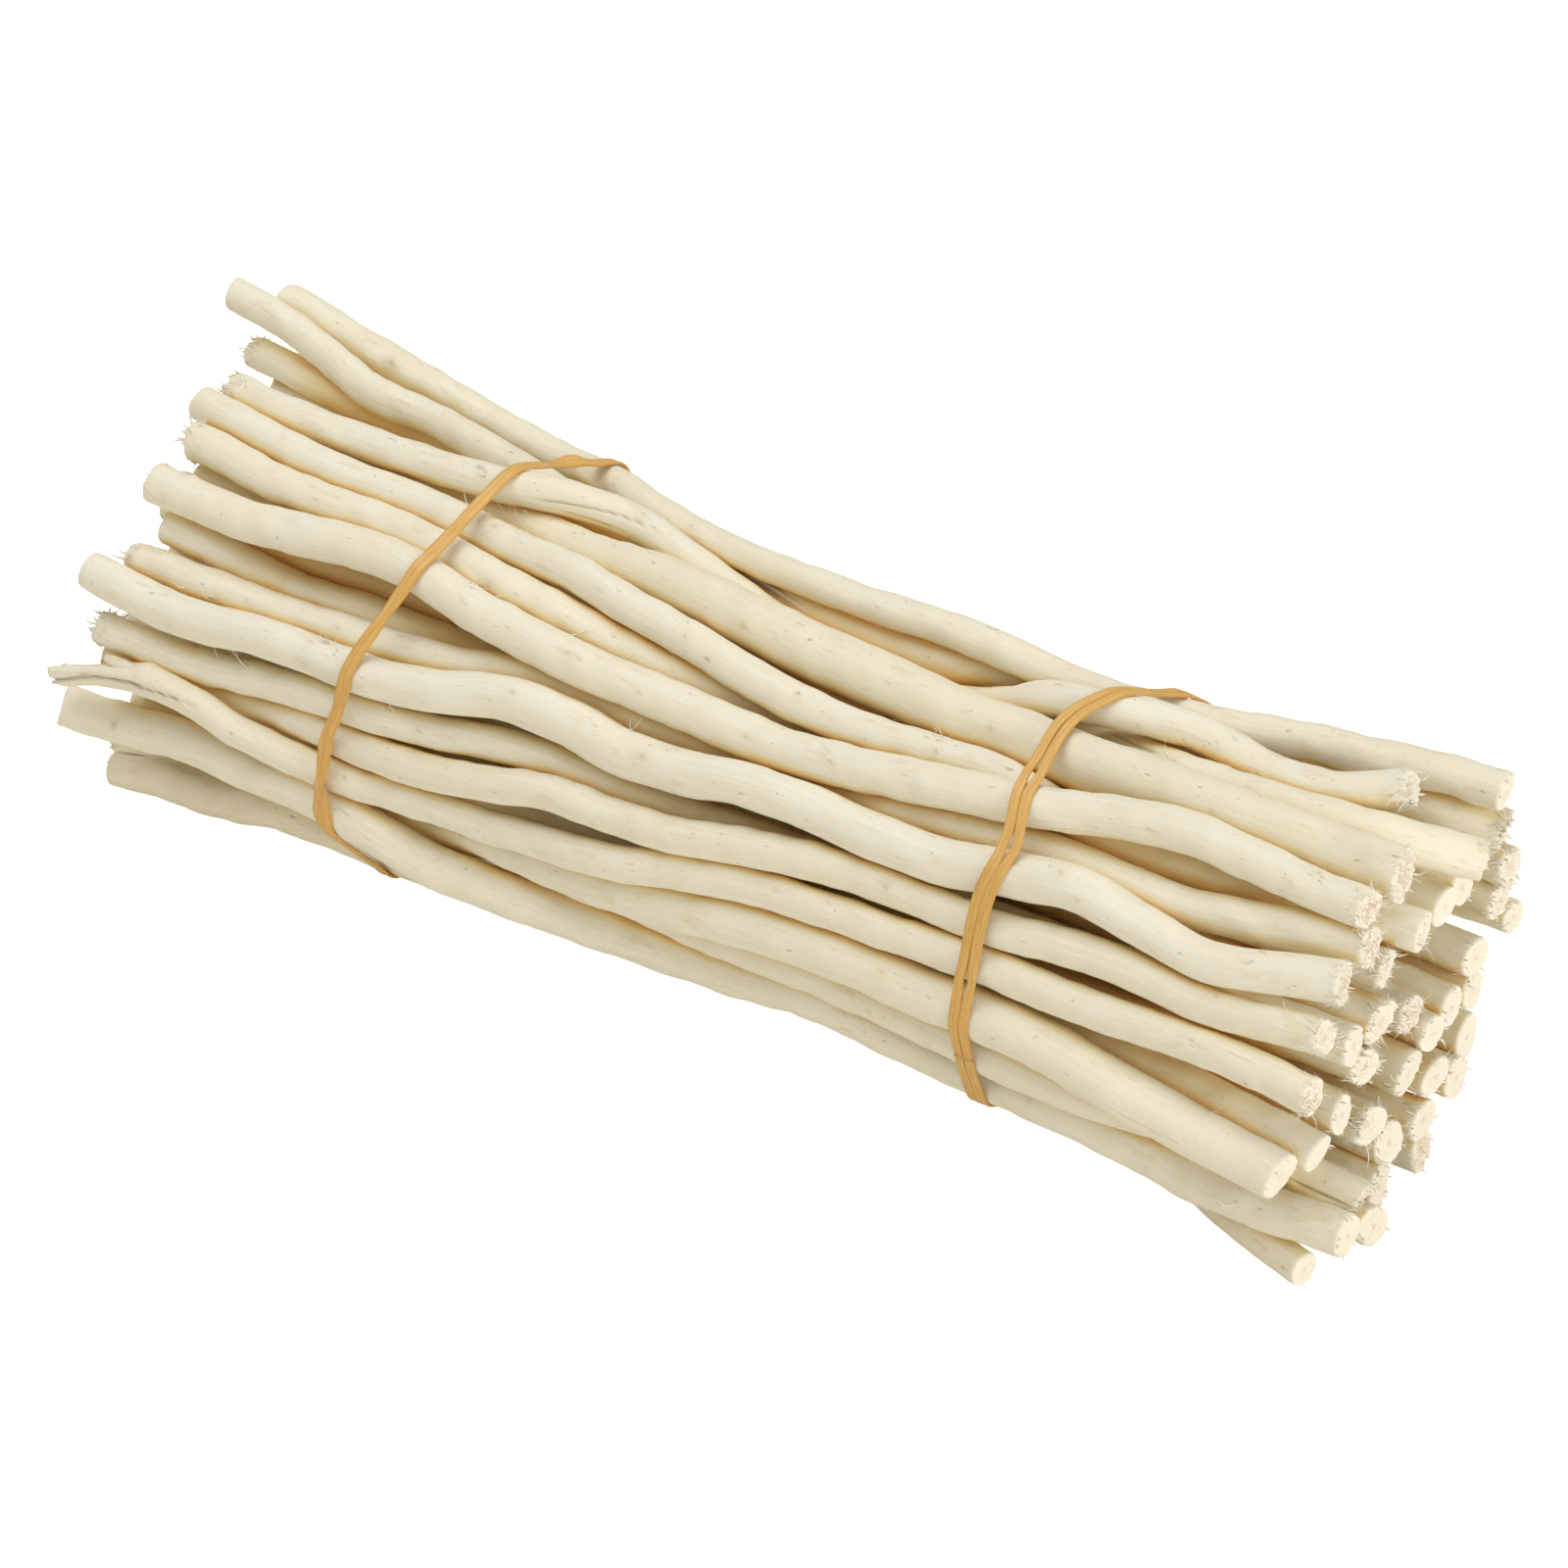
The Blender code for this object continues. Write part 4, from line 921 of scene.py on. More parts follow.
def shred_strands(twig, end):
    """Broad pale shreds that hang back from the rim over the side, or stand across the face."""
    rng = twig.rng
    station, rim, out = twig.end_ring(end)
    count = int(twig.kind(end)[5] * (0.6 + 0.8 * rng.random()))
    columns = rng.integers(0, twig.sides, count)
    rays = twig.rays()[station][columns]
    back = rng.random(count) < 0.6
    depth = np.where(back, rng.uniform(0.0, 1.6, count), 0.1) * MM
    inward = np.where(back, 0.02, -0.3)[:, None] * MM
    starts = rim[columns] + rays * inward - out[None] * depth[:, None]
    lift = np.where(back, rng.uniform(0.02, 0.35, count), rng.uniform(-0.6, 0.5, count))
    ways = np.where(back[:, None], -out[None], out[None]) + rays * lift[:, None]
    flank = np.cross(out[None], rays)
    ways = unit(ways + flank * rng.normal(0.0, 0.45, count)[:, None])
    longer = LONG_FIBRES.get(twig.name, (1.0, 1.0))[end]
    lengths = rng.uniform(1.2, 3.4, count) * np.where(back, 1.0, 0.6) * longer * MM
    widths = np.stack([rng.uniform(0.20, 0.52, count), rng.uniform(0.06, 0.11, count)], axis=1)
    curls = np.stack([
        np.where(back, rng.uniform(-0.05, 0.5, count), rng.uniform(-0.3, 0.7, count)),
        rng.uniform(-0.8, 0.8, count),
    ], axis=1)
    return starts, ways, rays, lengths, widths * MM, curls


def face_strands(twig, end):
    """Short torn fibres standing on one cut face.

    Formula: places evenly spread over the face, each fibre leaning away from the twig's axis
    by chance.
    """
    rng = twig.rng
    station, rim, out = twig.end_ring(end)
    count = int(twig.kind(end)[4] * (twig.radius[station] / (4.0 * MM)) ** 2)
    middle = rim.mean(axis=0)
    columns = rng.integers(0, twig.sides, count)
    share = np.sqrt(rng.random(count)) * 0.95
    rays = twig.rays()[station][columns]
    starts = middle + (rim[columns] - middle) * share[:, None] - out * 0.25 * MM
    ways = unit(out + rng.normal(0.0, 0.5, (count, 3)))
    lengths = rng.uniform(0.4, 1.1, count) * MM
    widths = np.stack([rng.uniform(0.05, 0.14, count), rng.uniform(0.04, 0.08, count)], axis=1)
    curls = rng.uniform(-0.6, 0.6, (count, 2))
    return starts, ways, rays, lengths, widths * MM, curls


def stray_strands(twig, count):
    """Short fine hairs and small peeled flakes here and there along a twig."""
    rng = twig.rng
    rows = rng.integers(2, len(twig.s) - 2, count)
    rays = twig.ray(rows, rng.uniform(0.0, WHOLE_TURN, count))
    starts = twig.line[rows] + rays * (twig.radius[rows] * 0.985)[:, None]
    sign = np.where(rng.random(count) < 0.5, -1.0, 1.0)[:, None]
    ways = unit(sign * twig.ahead[rows] + rays * rng.uniform(0.15, 0.6, count)[:, None])
    flake = rng.random(count) < 0.3
    lengths = np.where(flake, 0.9, 0.4) * MM + rng.gamma(2.0, 0.5, count) * MM
    wide = np.where(flake, rng.uniform(0.18, 0.36, count), rng.uniform(0.07, 0.16, count))
    widths = np.stack([wide, rng.uniform(0.03, 0.05, count)], axis=1)
    bend = np.where(flake, -0.1, rng.uniform(-0.2, 0.4, count))
    curls = np.stack([bend, rng.uniform(-0.8, 0.8, count)], axis=1)
    return starts, ways, rays, lengths, widths * MM, curls


def splinter(twig, across, down, across_tip, down_tip, width, thick, low, high):
    """A split piece of a twig as a closed tapering bar.

    Formula: an oval section carried from the root to the tip at a distance from the twig's
    centre line that goes evenly from low to high, narrowing towards the tip.
    """
    root, turn_root = twig.find(across, down)
    tip, turn_tip = twig.find(across_tip, down_tip)
    share = np.linspace(0.0, 1.0, SPLINTER_RINGS)
    place = root + (tip - root) * share
    rows = [np.interp(place, twig.s, twig.line[:, k]) for k in range(3)]
    line = np.stack(rows, axis=1)
    radius = np.interp(place, twig.s, twig.radius)
    ahead, up, side = axes_along(line if tip > root else line[::-1])
    if tip < root:
        ahead, up, side = ahead[::-1], up[::-1], side[::-1]
    turn = turn_root + turn_between(turn_tip, turn_root) * share
    cos, sin = np.cos(turn)[:, None], np.sin(turn)[:, None]
    ray = cos * up + sin * side
    flank = -sin * up + cos * side
    off = 1.0 + low + (high - low) * share ** 0.6
    line = line + ray * (radius * off - 0.4 * thick * MM)[:, None]
    round_it = np.arange(SPLINTER_SIDES) * (WHOLE_TURN / SPLINTER_SIDES)
    wide = (0.5 * width * MM * (1.0 - 0.55 * share ** 2))[:, None, None]
    tall = (0.5 * thick * MM * (1.0 - 0.45 * share ** 2))[:, None, None]
    wobble = 1.0 + 0.12 * twig.rng.normal(0.0, 1.0, SPLINTER_SIDES)[None, :, None]
    points = (
        line[:, None]
        + flank[:, None] * np.cos(round_it)[None, :, None] * wide * wobble
        + ray[:, None] * np.sin(round_it)[None, :, None] * tall * wobble
    )
    if tip > root:
        points = points[:, ::-1]
    low_end, high_end = points[0].mean(axis=0), points[-1].mean(axis=0)
    return np.concatenate([low_end[None], points.reshape(-1, 3), high_end[None]])


def put_splinter(twig, number, values, material):
    """One of a twig's splinters as a piece, paler where it stands off the twig at its root."""
    points = splinter(twig, *values)
    faces = closed_tube(SPLINTER_RINGS, SPLINTER_SIDES)
    thing = put_mesh(f"{twig.name}_splinter_{number}", points, faces, material)
    *_, low, _ = values
    put_values(thing.data, "grain", points)
    put_values(thing.data, "tone_with_shade", np.full(len(points), TONES_WITH_SHADE.get(twig.name, 0.4)))
    put_values(thing.data, "fresh", np.full(len(points), 0.5 if low > 0.0 else 0.0))
    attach(thing, "root")


def tuft_strands(twig, across, down, length, count):
    """A few curled fibres standing off a twig's side."""
    rng = twig.rng
    place, turn = twig.find(across, down)
    rows = np.searchsorted(twig.s, place + rng.normal(0.0, 1.2 * MM, count))
    rows = np.clip(rows, 0, len(twig.s) - 1)
    rays = twig.ray(rows, turn + rng.normal(0.0, 0.25, count))
    starts = twig.line[rows] + rays * (twig.radius[rows] * 0.99)[:, None]
    sign = np.where(rng.random(count) < 0.5, -1.0, 1.0)[:, None]
    ways = unit(sign * twig.ahead[rows] + rays * rng.uniform(0.3, 0.9, count)[:, None])
    lengths = length * MM * rng.uniform(0.6, 1.2, count)
    widths = np.stack([rng.uniform(0.20, 0.34, count), rng.uniform(0.06, 0.12, count)], axis=1)
    curls = np.stack([rng.uniform(-0.5, 1.3, count), rng.uniform(-1.6, 1.6, count)], axis=1)
    return starts, ways, rays, lengths, widths * MM, curls


# Rubber bands

COURSE_TURNS = 360
COURSE_EVENING = math.radians(8.0)
HULL_TURNS = 720
STRAP_STEP = 0.7 * MM
# how far the rubber stands off the twigs, off the floor, and the height under which it lies flat
STRAP_GAP = 0.12 * MM
FLOOR_GAP = 0.03 * MM
FLAT_UNDER = 1.3 * MM
# how far to each side of a band the twigs still lift it, and its half width for a first course
TWIG_REACH = 0.8 * MM
FIRST_HALF_WIDTH = 2.5 * MM


def band_course(node):
    """A band's x as a function of the angle round the bundle, from its CAD node.

    Formula: the mean x of the points that share a place across the bundle, joined by straight
    lines over the angle and then evened out by a bell curve.
    """
    points = distinct(node)
    places, group = np.unique(np.round(points[:, 1:], 5), axis=0, return_inverse=True)
    x = np.bincount(group.ravel(), points[:, 0]) / np.bincount(group.ravel())
    turn = turn_of(places)
    grid = np.linspace(-math.pi, math.pi, COURSE_TURNS, endpoint=False)
    joined = np.interp(grid, np.sort(turn), x[np.argsort(turn)], period=WHOLE_TURN)
    far = turn_between(grid[:, None], grid[None]) / COURSE_EVENING
    weight = np.exp(-0.5 * far * far)
    return grid, (weight * joined[None]).sum(axis=1) / weight.sum(axis=1)


def turn_of(places):
    """The angle round the bundle of places across it, given as y and z."""
    return np.arctan2(places[:, 1] - BUNDLE_CENTRE[2], places[:, 0] - BUNDLE_CENTRE[1])


def course_at(turn, grid, course):
    """A band's x at the angles asked for."""
    return np.interp(turn, grid, course, period=WHOLE_TURN)


def hull_round(points, count):
    """The corners of the tight line round flat points, in turn.

    Formula: for each of many directions, the point that lies furthest that way.
    """
    turn = np.linspace(-math.pi, math.pi, count, endpoint=False)
    ways = np.stack([np.cos(turn), np.sin(turn)], axis=1)
    furthest = (points @ ways.T).argmax(axis=0)
    keep = furthest != np.roll(furthest, 1)
    return points[furthest[keep]]


def resample_loop(points, step):
    """Even places along a closed line, its corners slightly rounded."""
    closed = np.concatenate([points, points[:1]])
    along = np.concatenate([[0.0], np.cumsum(gaps_between(closed))])
    count = round(along[-1] / step)
    wanted = np.arange(count) * (along[-1] / count)
    line = np.stack([np.interp(wanted, along, closed[:, k]) for k in (0, 1)], axis=1)
    for _ in range(6):
        line = 0.25 * np.roll(line, 1, axis=0) + 0.5 * line + 0.25 * np.roll(line, -1, axis=0)
    return line


def shifted_course(node, settings):
    """A band's course, moved along the twigs where the photograph shows it elsewhere.

    Formula: the CAD's course plus a bell curve over the angle for each moved place.
    """
    grid, course = band_course(node)
    line, x, _, turn = band_loop((grid, course), FIRST_HALF_WIDTH, settings)
    moved = course.copy()
    for across, down, far, spread in BAND_SHIFTS[node]:
        middle = turn[bell_at(line, x, across, down).argmax()]
        away = turn_between(grid, middle) / math.radians(spread)
        moved = moved + far * MM * np.exp(-0.5 * away * away)
    return grid, moved


def band_loop(path, half_width, settings):
    """The line of a band's inner face round the twigs: y and z, x, and the way out."""
    grid, course = path
    gathered = []
    for twig in TWIGS:
        points = twig.points.reshape(-1, 3)
        turn = turn_of(points[:, 1:])
        near = np.abs(points[:, 0] - course_at(turn, grid, course)) < half_width + TWIG_REACH
        gathered.append(points[near, 1:])
    hull = hull_round(np.concatenate(gathered), HULL_TURNS)
    line = resample_loop(hull, STRAP_STEP)
    ahead = unit(np.roll(line, -1, axis=0) - np.roll(line, 1, axis=0))
    out = np.stack([ahead[:, 1], -ahead[:, 0]], axis=1)
    line = line + out * STRAP_GAP
    lowest = settings.thickness + FLOOR_GAP
    line[:, 1] = np.where(line[:, 1] < lowest + FLAT_UNDER, lowest, line[:, 1])
    turn = turn_of(line)
    return line, course_at(turn, grid, course), out, turn


def strap_surface(line, x, out, width, roll, rise, settings):
    """A closed rubber strap, with its across and along coordinates.

    Formula: a flat section with rounded edges and a shallow fold along its middle, as wide as
    the strap at each place, turned by the roll there and carried round the closed line.
    """
    sides = STRAP_SIDES
    turn = np.arange(sides) * (WHOLE_TURN / sides)
    flat = np.sign(np.cos(turn)) * np.abs(np.cos(turn)) ** 0.55
    tall = np.sign(np.sin(turn)) * np.abs(np.sin(turn)) ** 0.8
    across = 0.5 * width[:, None] * flat[None]
    thick = settings.thickness
    fold = settings.fold * np.exp(-((flat / 0.22) ** 2)) * (tall > 0.0)
    high = 0.5 * thick * (1.0 + tall)[None] - fold[None]
    cos, sin = np.cos(roll)[:, None], np.sin(roll)[:, None]
    middle = high - 0.5 * thick
    side = across * cos - middle * sin
    lift = across * sin + middle * cos + 0.5 * thick + rise[:, None]
    lift = lift + 0.5 * np.abs(np.sin(roll))[:, None] * width[:, None]
    points = np.empty((len(line), sides, 3))
    points[..., 0] = x[:, None] + side
    points[..., 1:] = line[:, None] + out[:, None] * lift[..., None]
    gaps = np.sqrt((np.diff(line, axis=0, append=line[:1]) ** 2).sum(axis=1))
    along = np.concatenate([[0.0], np.cumsum(gaps)[:-1]])
    course = np.stack([
        np.repeat(along[:, None], sides, axis=1), np.repeat(flat[None], len(line), axis=0),
        np.repeat(tall[None], len(line), axis=0),
    ], axis=-1)
    index = np.arange(len(line) * sides).reshape(len(line), sides)
    after = np.roll(index, -1, axis=1)
    ahead = np.roll(index, -1, axis=0)
    ahead_after = np.roll(after, -1, axis=0)
    quads = np.stack([index, ahead, ahead_after, after], axis=-1).reshape(-1, 4)
    return points.reshape(-1, 3), quads, course.reshape(-1, 3)


def slow_change(rng, turn, size):
    """A smooth change round the bundle that meets itself: a sum of a few cosines."""
    total = np.zeros(len(turn))
    for waves_round in range(2, 12):
        total += np.cos(waves_round * turn + rng.uniform(0.0, WHOLE_TURN))
    return size * total / math.sqrt(5.0)


def bell_at(line, x, across, down):
    """A bell curve along a band, round the place that the photograph shows at a pixel."""
    points = np.column_stack([x, line])
    shown = shown_at(points)
    outward = points - np.array([points[:, 0].mean(), *BUNDLE_CENTRE[1:]])
    far = (shown[0] - across) ** 2 + (shown[1] - down) ** 2
    far = np.where(outward @ BACK > 0.0, far, FAR_OFF)
    middle = int(far.argmin())
    steps = np.arange(len(line)) - middle
    steps = (steps + len(line) // 2) % len(line) - len(line) // 2
    return np.exp(-((steps / 5.0) ** 2))


def put_strap(name, surface, node, material):
    """A strap as a piece that stands for its CAD node."""
    points, quads, course = surface
    thing = put_mesh(name, points, [quads], material)
    put_values(thing.data, "course", course)
    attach(thing, "root")
    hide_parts(node)


# Shader node groups


def new_group(name, inputs, outputs):
    """An empty shader node group with named inputs and outputs."""
    group = bpy.data.node_groups.new(name, "ShaderNodeTree")
    for label, kind, value in inputs:
        socket = group.interface.new_socket(label, in_out="INPUT", socket_type=kind)
        if value is not None:
            socket.default_value = value
    for label, kind in outputs:
        group.interface.new_socket(label, in_out="OUTPUT", socket_type=kind)
    enter = group.nodes.new("NodeGroupInput")
    leave = group.nodes.new("NodeGroupOutput")
    return group, enter, leave


def node(tree, kind, values=None, **settings):
    """A node with its settings and the values of its inputs."""
    made = tree.nodes.new(kind)
    for key, value in settings.items():
        setattr(made, key, value)
    for key, value in (values or {}).items():
        made.inputs[key].default_value = value
    return made


def join(tree, source, output, target, entry):
    """Links one socket to another."""
    tree.links.new(source.outputs[output], target.inputs[entry])


def placed(tree, group, **values):
    """A node group placed in a tree with its own values."""
    made = tree.nodes.new("ShaderNodeGroup")
    made.node_tree = group
    for key, value in values.items():
        made.inputs[key.replace("_", " ")].default_value = value
    return made


def grain_group():
    """Long fine streaks that follow the wood: noise stretched along the grain."""
    group, enter, leave = new_group(
        "Long grain",
        (("Vector", "NodeSocketVector", None), ("Across", "NodeSocketFloat", 900.0),
         ("Stretch", "NodeSocketFloat", 0.03), ("Detail", "NodeSocketFloat", 3.0)),
        (("Streaks", "NodeSocketFloat"),),
    )
    split = node(group, "ShaderNodeSeparateXYZ")
    join(group, enter, "Vector", split, 0)
    squeeze = node(group, "ShaderNodeMath", operation="MULTIPLY")
    join(group, split, "X", squeeze, 0)
    join(group, enter, "Stretch", squeeze, 1)
    whole = node(group, "ShaderNodeCombineXYZ")
    join(group, squeeze, 0, whole, "X")
    join(group, split, "Y", whole, "Y")
    join(group, split, "Z", whole, "Z")
    noise = node(group, "ShaderNodeTexNoise", {"Roughness": 0.6})
    join(group, whole, 0, noise, "Vector")
    join(group, enter, "Across", noise, "Scale")
    join(group, enter, "Detail", noise, "Detail")
    join(group, noise, 0, leave, "Streaks")
    return group


def speck_group(grain):
    """Sparse marks along the grain: the peaks of a stretched noise."""
    group, enter, leave = new_group(
        "Grain marks",
        (("Vector", "NodeSocketVector", None), ("Across", "NodeSocketFloat", 500.0),
         ("Stretch", "NodeSocketFloat", 0.3), ("Level", "NodeSocketFloat", 0.7)),
        (("Marks", "NodeSocketFloat"),),
    )
    base = placed(group, grain, Detail=2.0)
    for name in ("Vector", "Across", "Stretch"):
        join(group, enter, name, base, name)
    top = node(group, "ShaderNodeMath", {1: 0.07}, operation="ADD")
    join(group, enter, "Level", top, 0)
    pick = node(group, "ShaderNodeMapRange", interpolation_type="SMOOTHSTEP")
    join(group, base, 0, pick, "Value")
    join(group, enter, "Level", pick, "From Min")
    join(group, top, 0, pick, "From Max")
    join(group, pick, 0, leave, "Marks")
    return group


def mixed(tree, share, first, second):
    """A colour mix; share, first and second are sockets or plain values."""
    made = node(tree, "ShaderNodeMix", data_type="RGBA")
    for value, key in ((share, 0), (first, 6), (second, 7)):
        if isinstance(value, (tuple, float)):
            made.inputs[key].default_value = value
        else:
            tree.links.new(value, made.inputs[key])
    return made.outputs[2]


def scaled(tree, socket, low, high):
    """A mask brought to a range from low to high."""
    made = node(tree, "ShaderNodeMapRange", {"To Min": low, "To Max": high})
    tree.links.new(socket, made.inputs["Value"])
    return made.outputs[0]


def rising(tree, socket, low, high):
    """A mask that goes smoothly from 0 where another is low to 1 where it is high."""
    made = node(tree, "ShaderNodeMapRange", {"From Min": low, "From Max": high},
                interpolation_type="SMOOTHSTEP")
    tree.links.new(socket, made.inputs["Value"])
    return made.outputs[0]


def times(tree, first, second):
    """The product of two masks, or of a mask and a number."""
    made = node(tree, "ShaderNodeMath", operation="MULTIPLY")
    tree.links.new(first, made.inputs[0])
    if isinstance(second, float):
        made.inputs[1].default_value = second
    else:
        tree.links.new(second, made.inputs[1])
    return made.outputs[0]


def plus(tree, first, second):
    """The sum of two masks."""
    made = node(tree, "ShaderNodeMath", operation="ADD")
    tree.links.new(first, made.inputs[0])
    tree.links.new(second, made.inputs[1])
    return made.outputs[0]


def attribute(tree, name, output="Fac"):
    """A value stored on the mesh under a name."""
    made = node(tree, "ShaderNodeAttribute", attribute_name=name)
    return made.outputs[output]


def opaque(colour):
    """A colour with full alpha."""
    return (colour[0], colour[1], colour[2], 1.0)


def new_material(name):
    """A material with its node tree and its Principled shader."""
    material = bpy.data.materials.new(name)
    material.use_nodes = True
    return material, material.node_tree, material.node_tree.nodes["Principled BSDF"]


def wood_material(settings):
    """Peeled wood: ivory warmed by a tone that is partly painted shade, long grain, faint marks,
    dirt, painted shade in the gaps and cracks, and pale cut faces with pith.
    """
    material, tree, shader = new_material("peeled wood")
    shader.inputs["Specular IOR Level"].default_value = 0.32
    grain = grain_group()
    marks = speck_group(grain)
    vector = attribute(tree, "grain", "Vector")

    def grained(group, **values):
        made = placed(tree, group, **values)
        tree.links.new(vector, made.inputs["Vector"])
        return made.outputs[0]

    broad = grained(grain, Across=150.0, Stretch=0.3, Detail=3.0)
    streaks = grained(grain, Across=1100.0, Stretch=0.03, Detail=3.0)
    fine = grained(grain, Across=3600.0, Stretch=0.06, Detail=2.0)
    dots = grained(marks, Across=560.0, Stretch=0.45, Level=0.71)
    nicks = grained(marks, Across=900.0, Stretch=0.25, Level=0.70)
    lines = grained(marks, Across=900.0, Stretch=0.06, Level=0.70)
    blots = grained(marks, Across=190.0, Stretch=0.35, Level=0.62)

    tone_with_shade = attribute(tree, "tone_with_shade")
    # the tone, partly painted shade, and broad noise warm the ivory
    warm = plus(tree, times(tree, tone_with_shade, 0.75), scaled(tree, broad, -0.55, 0.70))
    side = mixed(tree, warm, opaque(settings.ivory), opaque(settings.ivory_warm))
    side = mixed(tree, scaled(tree, streaks, -0.30, 0.60), side, opaque(settings.grain))
    side = mixed(tree, times(tree, blots, 0.26), side, opaque(settings.blot))
    side = mixed(tree, times(tree, lines, 0.24), side, opaque(settings.mark))
    side = mixed(tree, times(tree, dots, 0.55), side, opaque(settings.mark))
    side = mixed(tree, attribute(tree, "knot"), side, opaque(settings.knot))
    # Painted shade: warm tan where the wood faces other twigs, amber deep between them
    gap = attribute(tree, "gap")
    for low, high, share, colour in (
        (0.38, 0.92, 0.85, settings.gap), (0.70, 0.98, 0.90, settings.deep_gap_shade),
    ):
        side = mixed(tree, times(tree, rising(tree, gap, low, high), share), side, opaque(colour))
    # painted shade in the cracks, in the dirt colour
    side = mixed(tree, times(tree, attribute(tree, "split"), 0.7), side, opaque(settings.dirt))
    dirt = attribute(tree, "dirt")
    patchy = times(tree, dirt, scaled(tree, grained(grain, Across=420.0, Stretch=0.3), -0.2, 1.3))
    side = mixed(tree, patchy, side, opaque(settings.dirt))

    face = mixed(tree, scaled(tree, fine, 0.0, 1.0), opaque(settings.cut_face),
                 opaque(settings.cut_shade))
    middle = attribute(tree, "middle")
    rim = node(tree, "ShaderNodeMapRange", {"From Min": 0.16, "From Max": 0.05})
    tree.links.new(middle, rim.inputs["Value"])
    pith = rising(tree, middle, 0.72, 0.93)
    face = mixed(tree, times(tree, pith, 0.3), face, opaque(settings.pith))
    pores = grained(marks, Across=1700.0, Stretch=1.0, Level=0.50)
    pores = times(tree, pores, attribute(tree, "rough_end"))
    pores = times(tree, pores, scaled(tree, middle, 0.45, 1.0))
    face = mixed(tree, times(tree, pores, 0.75), face, opaque(settings.rough))
    face = mixed(tree, times(tree, rim.outputs[0], 0.8), face, opaque(settings.fresh))
    colour = mixed(tree, attribute(tree, "cut"), side, face)
    torn = times(tree, attribute(tree, "fresh"), 0.8)
    colour = mixed(tree, torn, colour, opaque(settings.fresh))
    tree.links.new(colour, shader.inputs["Base Color"])
    tree.links.new(scaled(tree, streaks, 0.52, 0.74), shader.inputs["Roughness"])

    height = plus(tree, times(tree, streaks, 0.45), times(tree, fine, 0.2))
    height = plus(tree, height, times(tree, broad, 0.8))
    height = plus(tree, height, times(tree, patchy, -0.5))
    height = plus(tree, height, times(tree, nicks, 0.9))
    height = plus(tree, height, times(tree, dots, -0.6))
    bump = node(tree, "ShaderNodeBump", {"Strength": 0.85, "Distance": 0.00030})
    tree.links.new(height, bump.inputs["Height"])
    join(tree, bump, 0, shader, "Normal")
    return material


def rubber_material(settings):
    """Amber rubber with darker streaks along it, and painted shade along its edges and in its
    fold.
    """
    material, tree, shader = new_material("amber rubber")
    shader.inputs["Specular IOR Level"].default_value = 0.45
    course = attribute(tree, "course", "Vector")
    split = node(tree, "ShaderNodeSeparateXYZ")
    tree.links.new(course, split.inputs[0])
    edge = node(tree, "ShaderNodeMath", operation="ABSOLUTE")
    join(tree, split, "Y", edge, 0)
    # rim and fold mark the painted shade along the strap's edges and in its fold
    rim = rising(tree, edge.outputs[0], 0.62, 0.98)
    fold = rising(tree, edge.outputs[0], 0.3, 0.0)
    shape = node(tree, "ShaderNodeCombineXYZ")
    slow = node(tree, "ShaderNodeMath", {1: 60.0}, operation="MULTIPLY")
    join(tree, split, "X", slow, 0)
    join(tree, slow, 0, shape, "X")
    join(tree, split, "Y", shape, "Y")
    join(tree, split, "Z", shape, "Z")
    noise = node(tree, "ShaderNodeTexNoise", {"Scale": 2.4, "Detail": 4.0, "Roughness": 0.6})
    join(tree, shape, 0, noise, "Vector")
    colour = mixed(tree, scaled(tree, noise.outputs[0], -0.2, 1.2), opaque(settings.amber),
                   opaque(settings.amber_streak_and_fold_shade))
    # painted shade in the fold and along the edges
    colour = mixed(tree, times(tree, fold, 0.35), colour, opaque(settings.amber_streak_and_fold_shade))
    colour = mixed(tree, times(tree, rim, 0.70), colour, opaque(settings.amber_edge_shade))
    tree.links.new(colour, shader.inputs["Base Color"])
    tree.links.new(scaled(tree, noise.outputs[0], 0.32, 0.5), shader.inputs["Roughness"])
    bump = node(tree, "ShaderNodeBump", {"Strength": 0.35, "Distance": 0.00025})
    tree.links.new(noise.outputs[0], bump.inputs["Height"])
    join(tree, bump, 0, shader, "Normal")
    return material


# Settings


def size_property(name, description, default, unit="LENGTH"):
    """A length, or another number with its unit."""
    return bpy.props.FloatProperty(name=name, description=description, default=default, unit=unit)


def count_property(name, description, default):
    """A whole number."""
    return bpy.props.IntProperty(name=name, description=description, default=default)


def colour_property(name, description, default):
    """A colour."""
    return bpy.props.FloatVectorProperty(
        name=name, description=description, default=default, subtype="COLOR", size=3,
        min=0.0, max=1.0,
    )


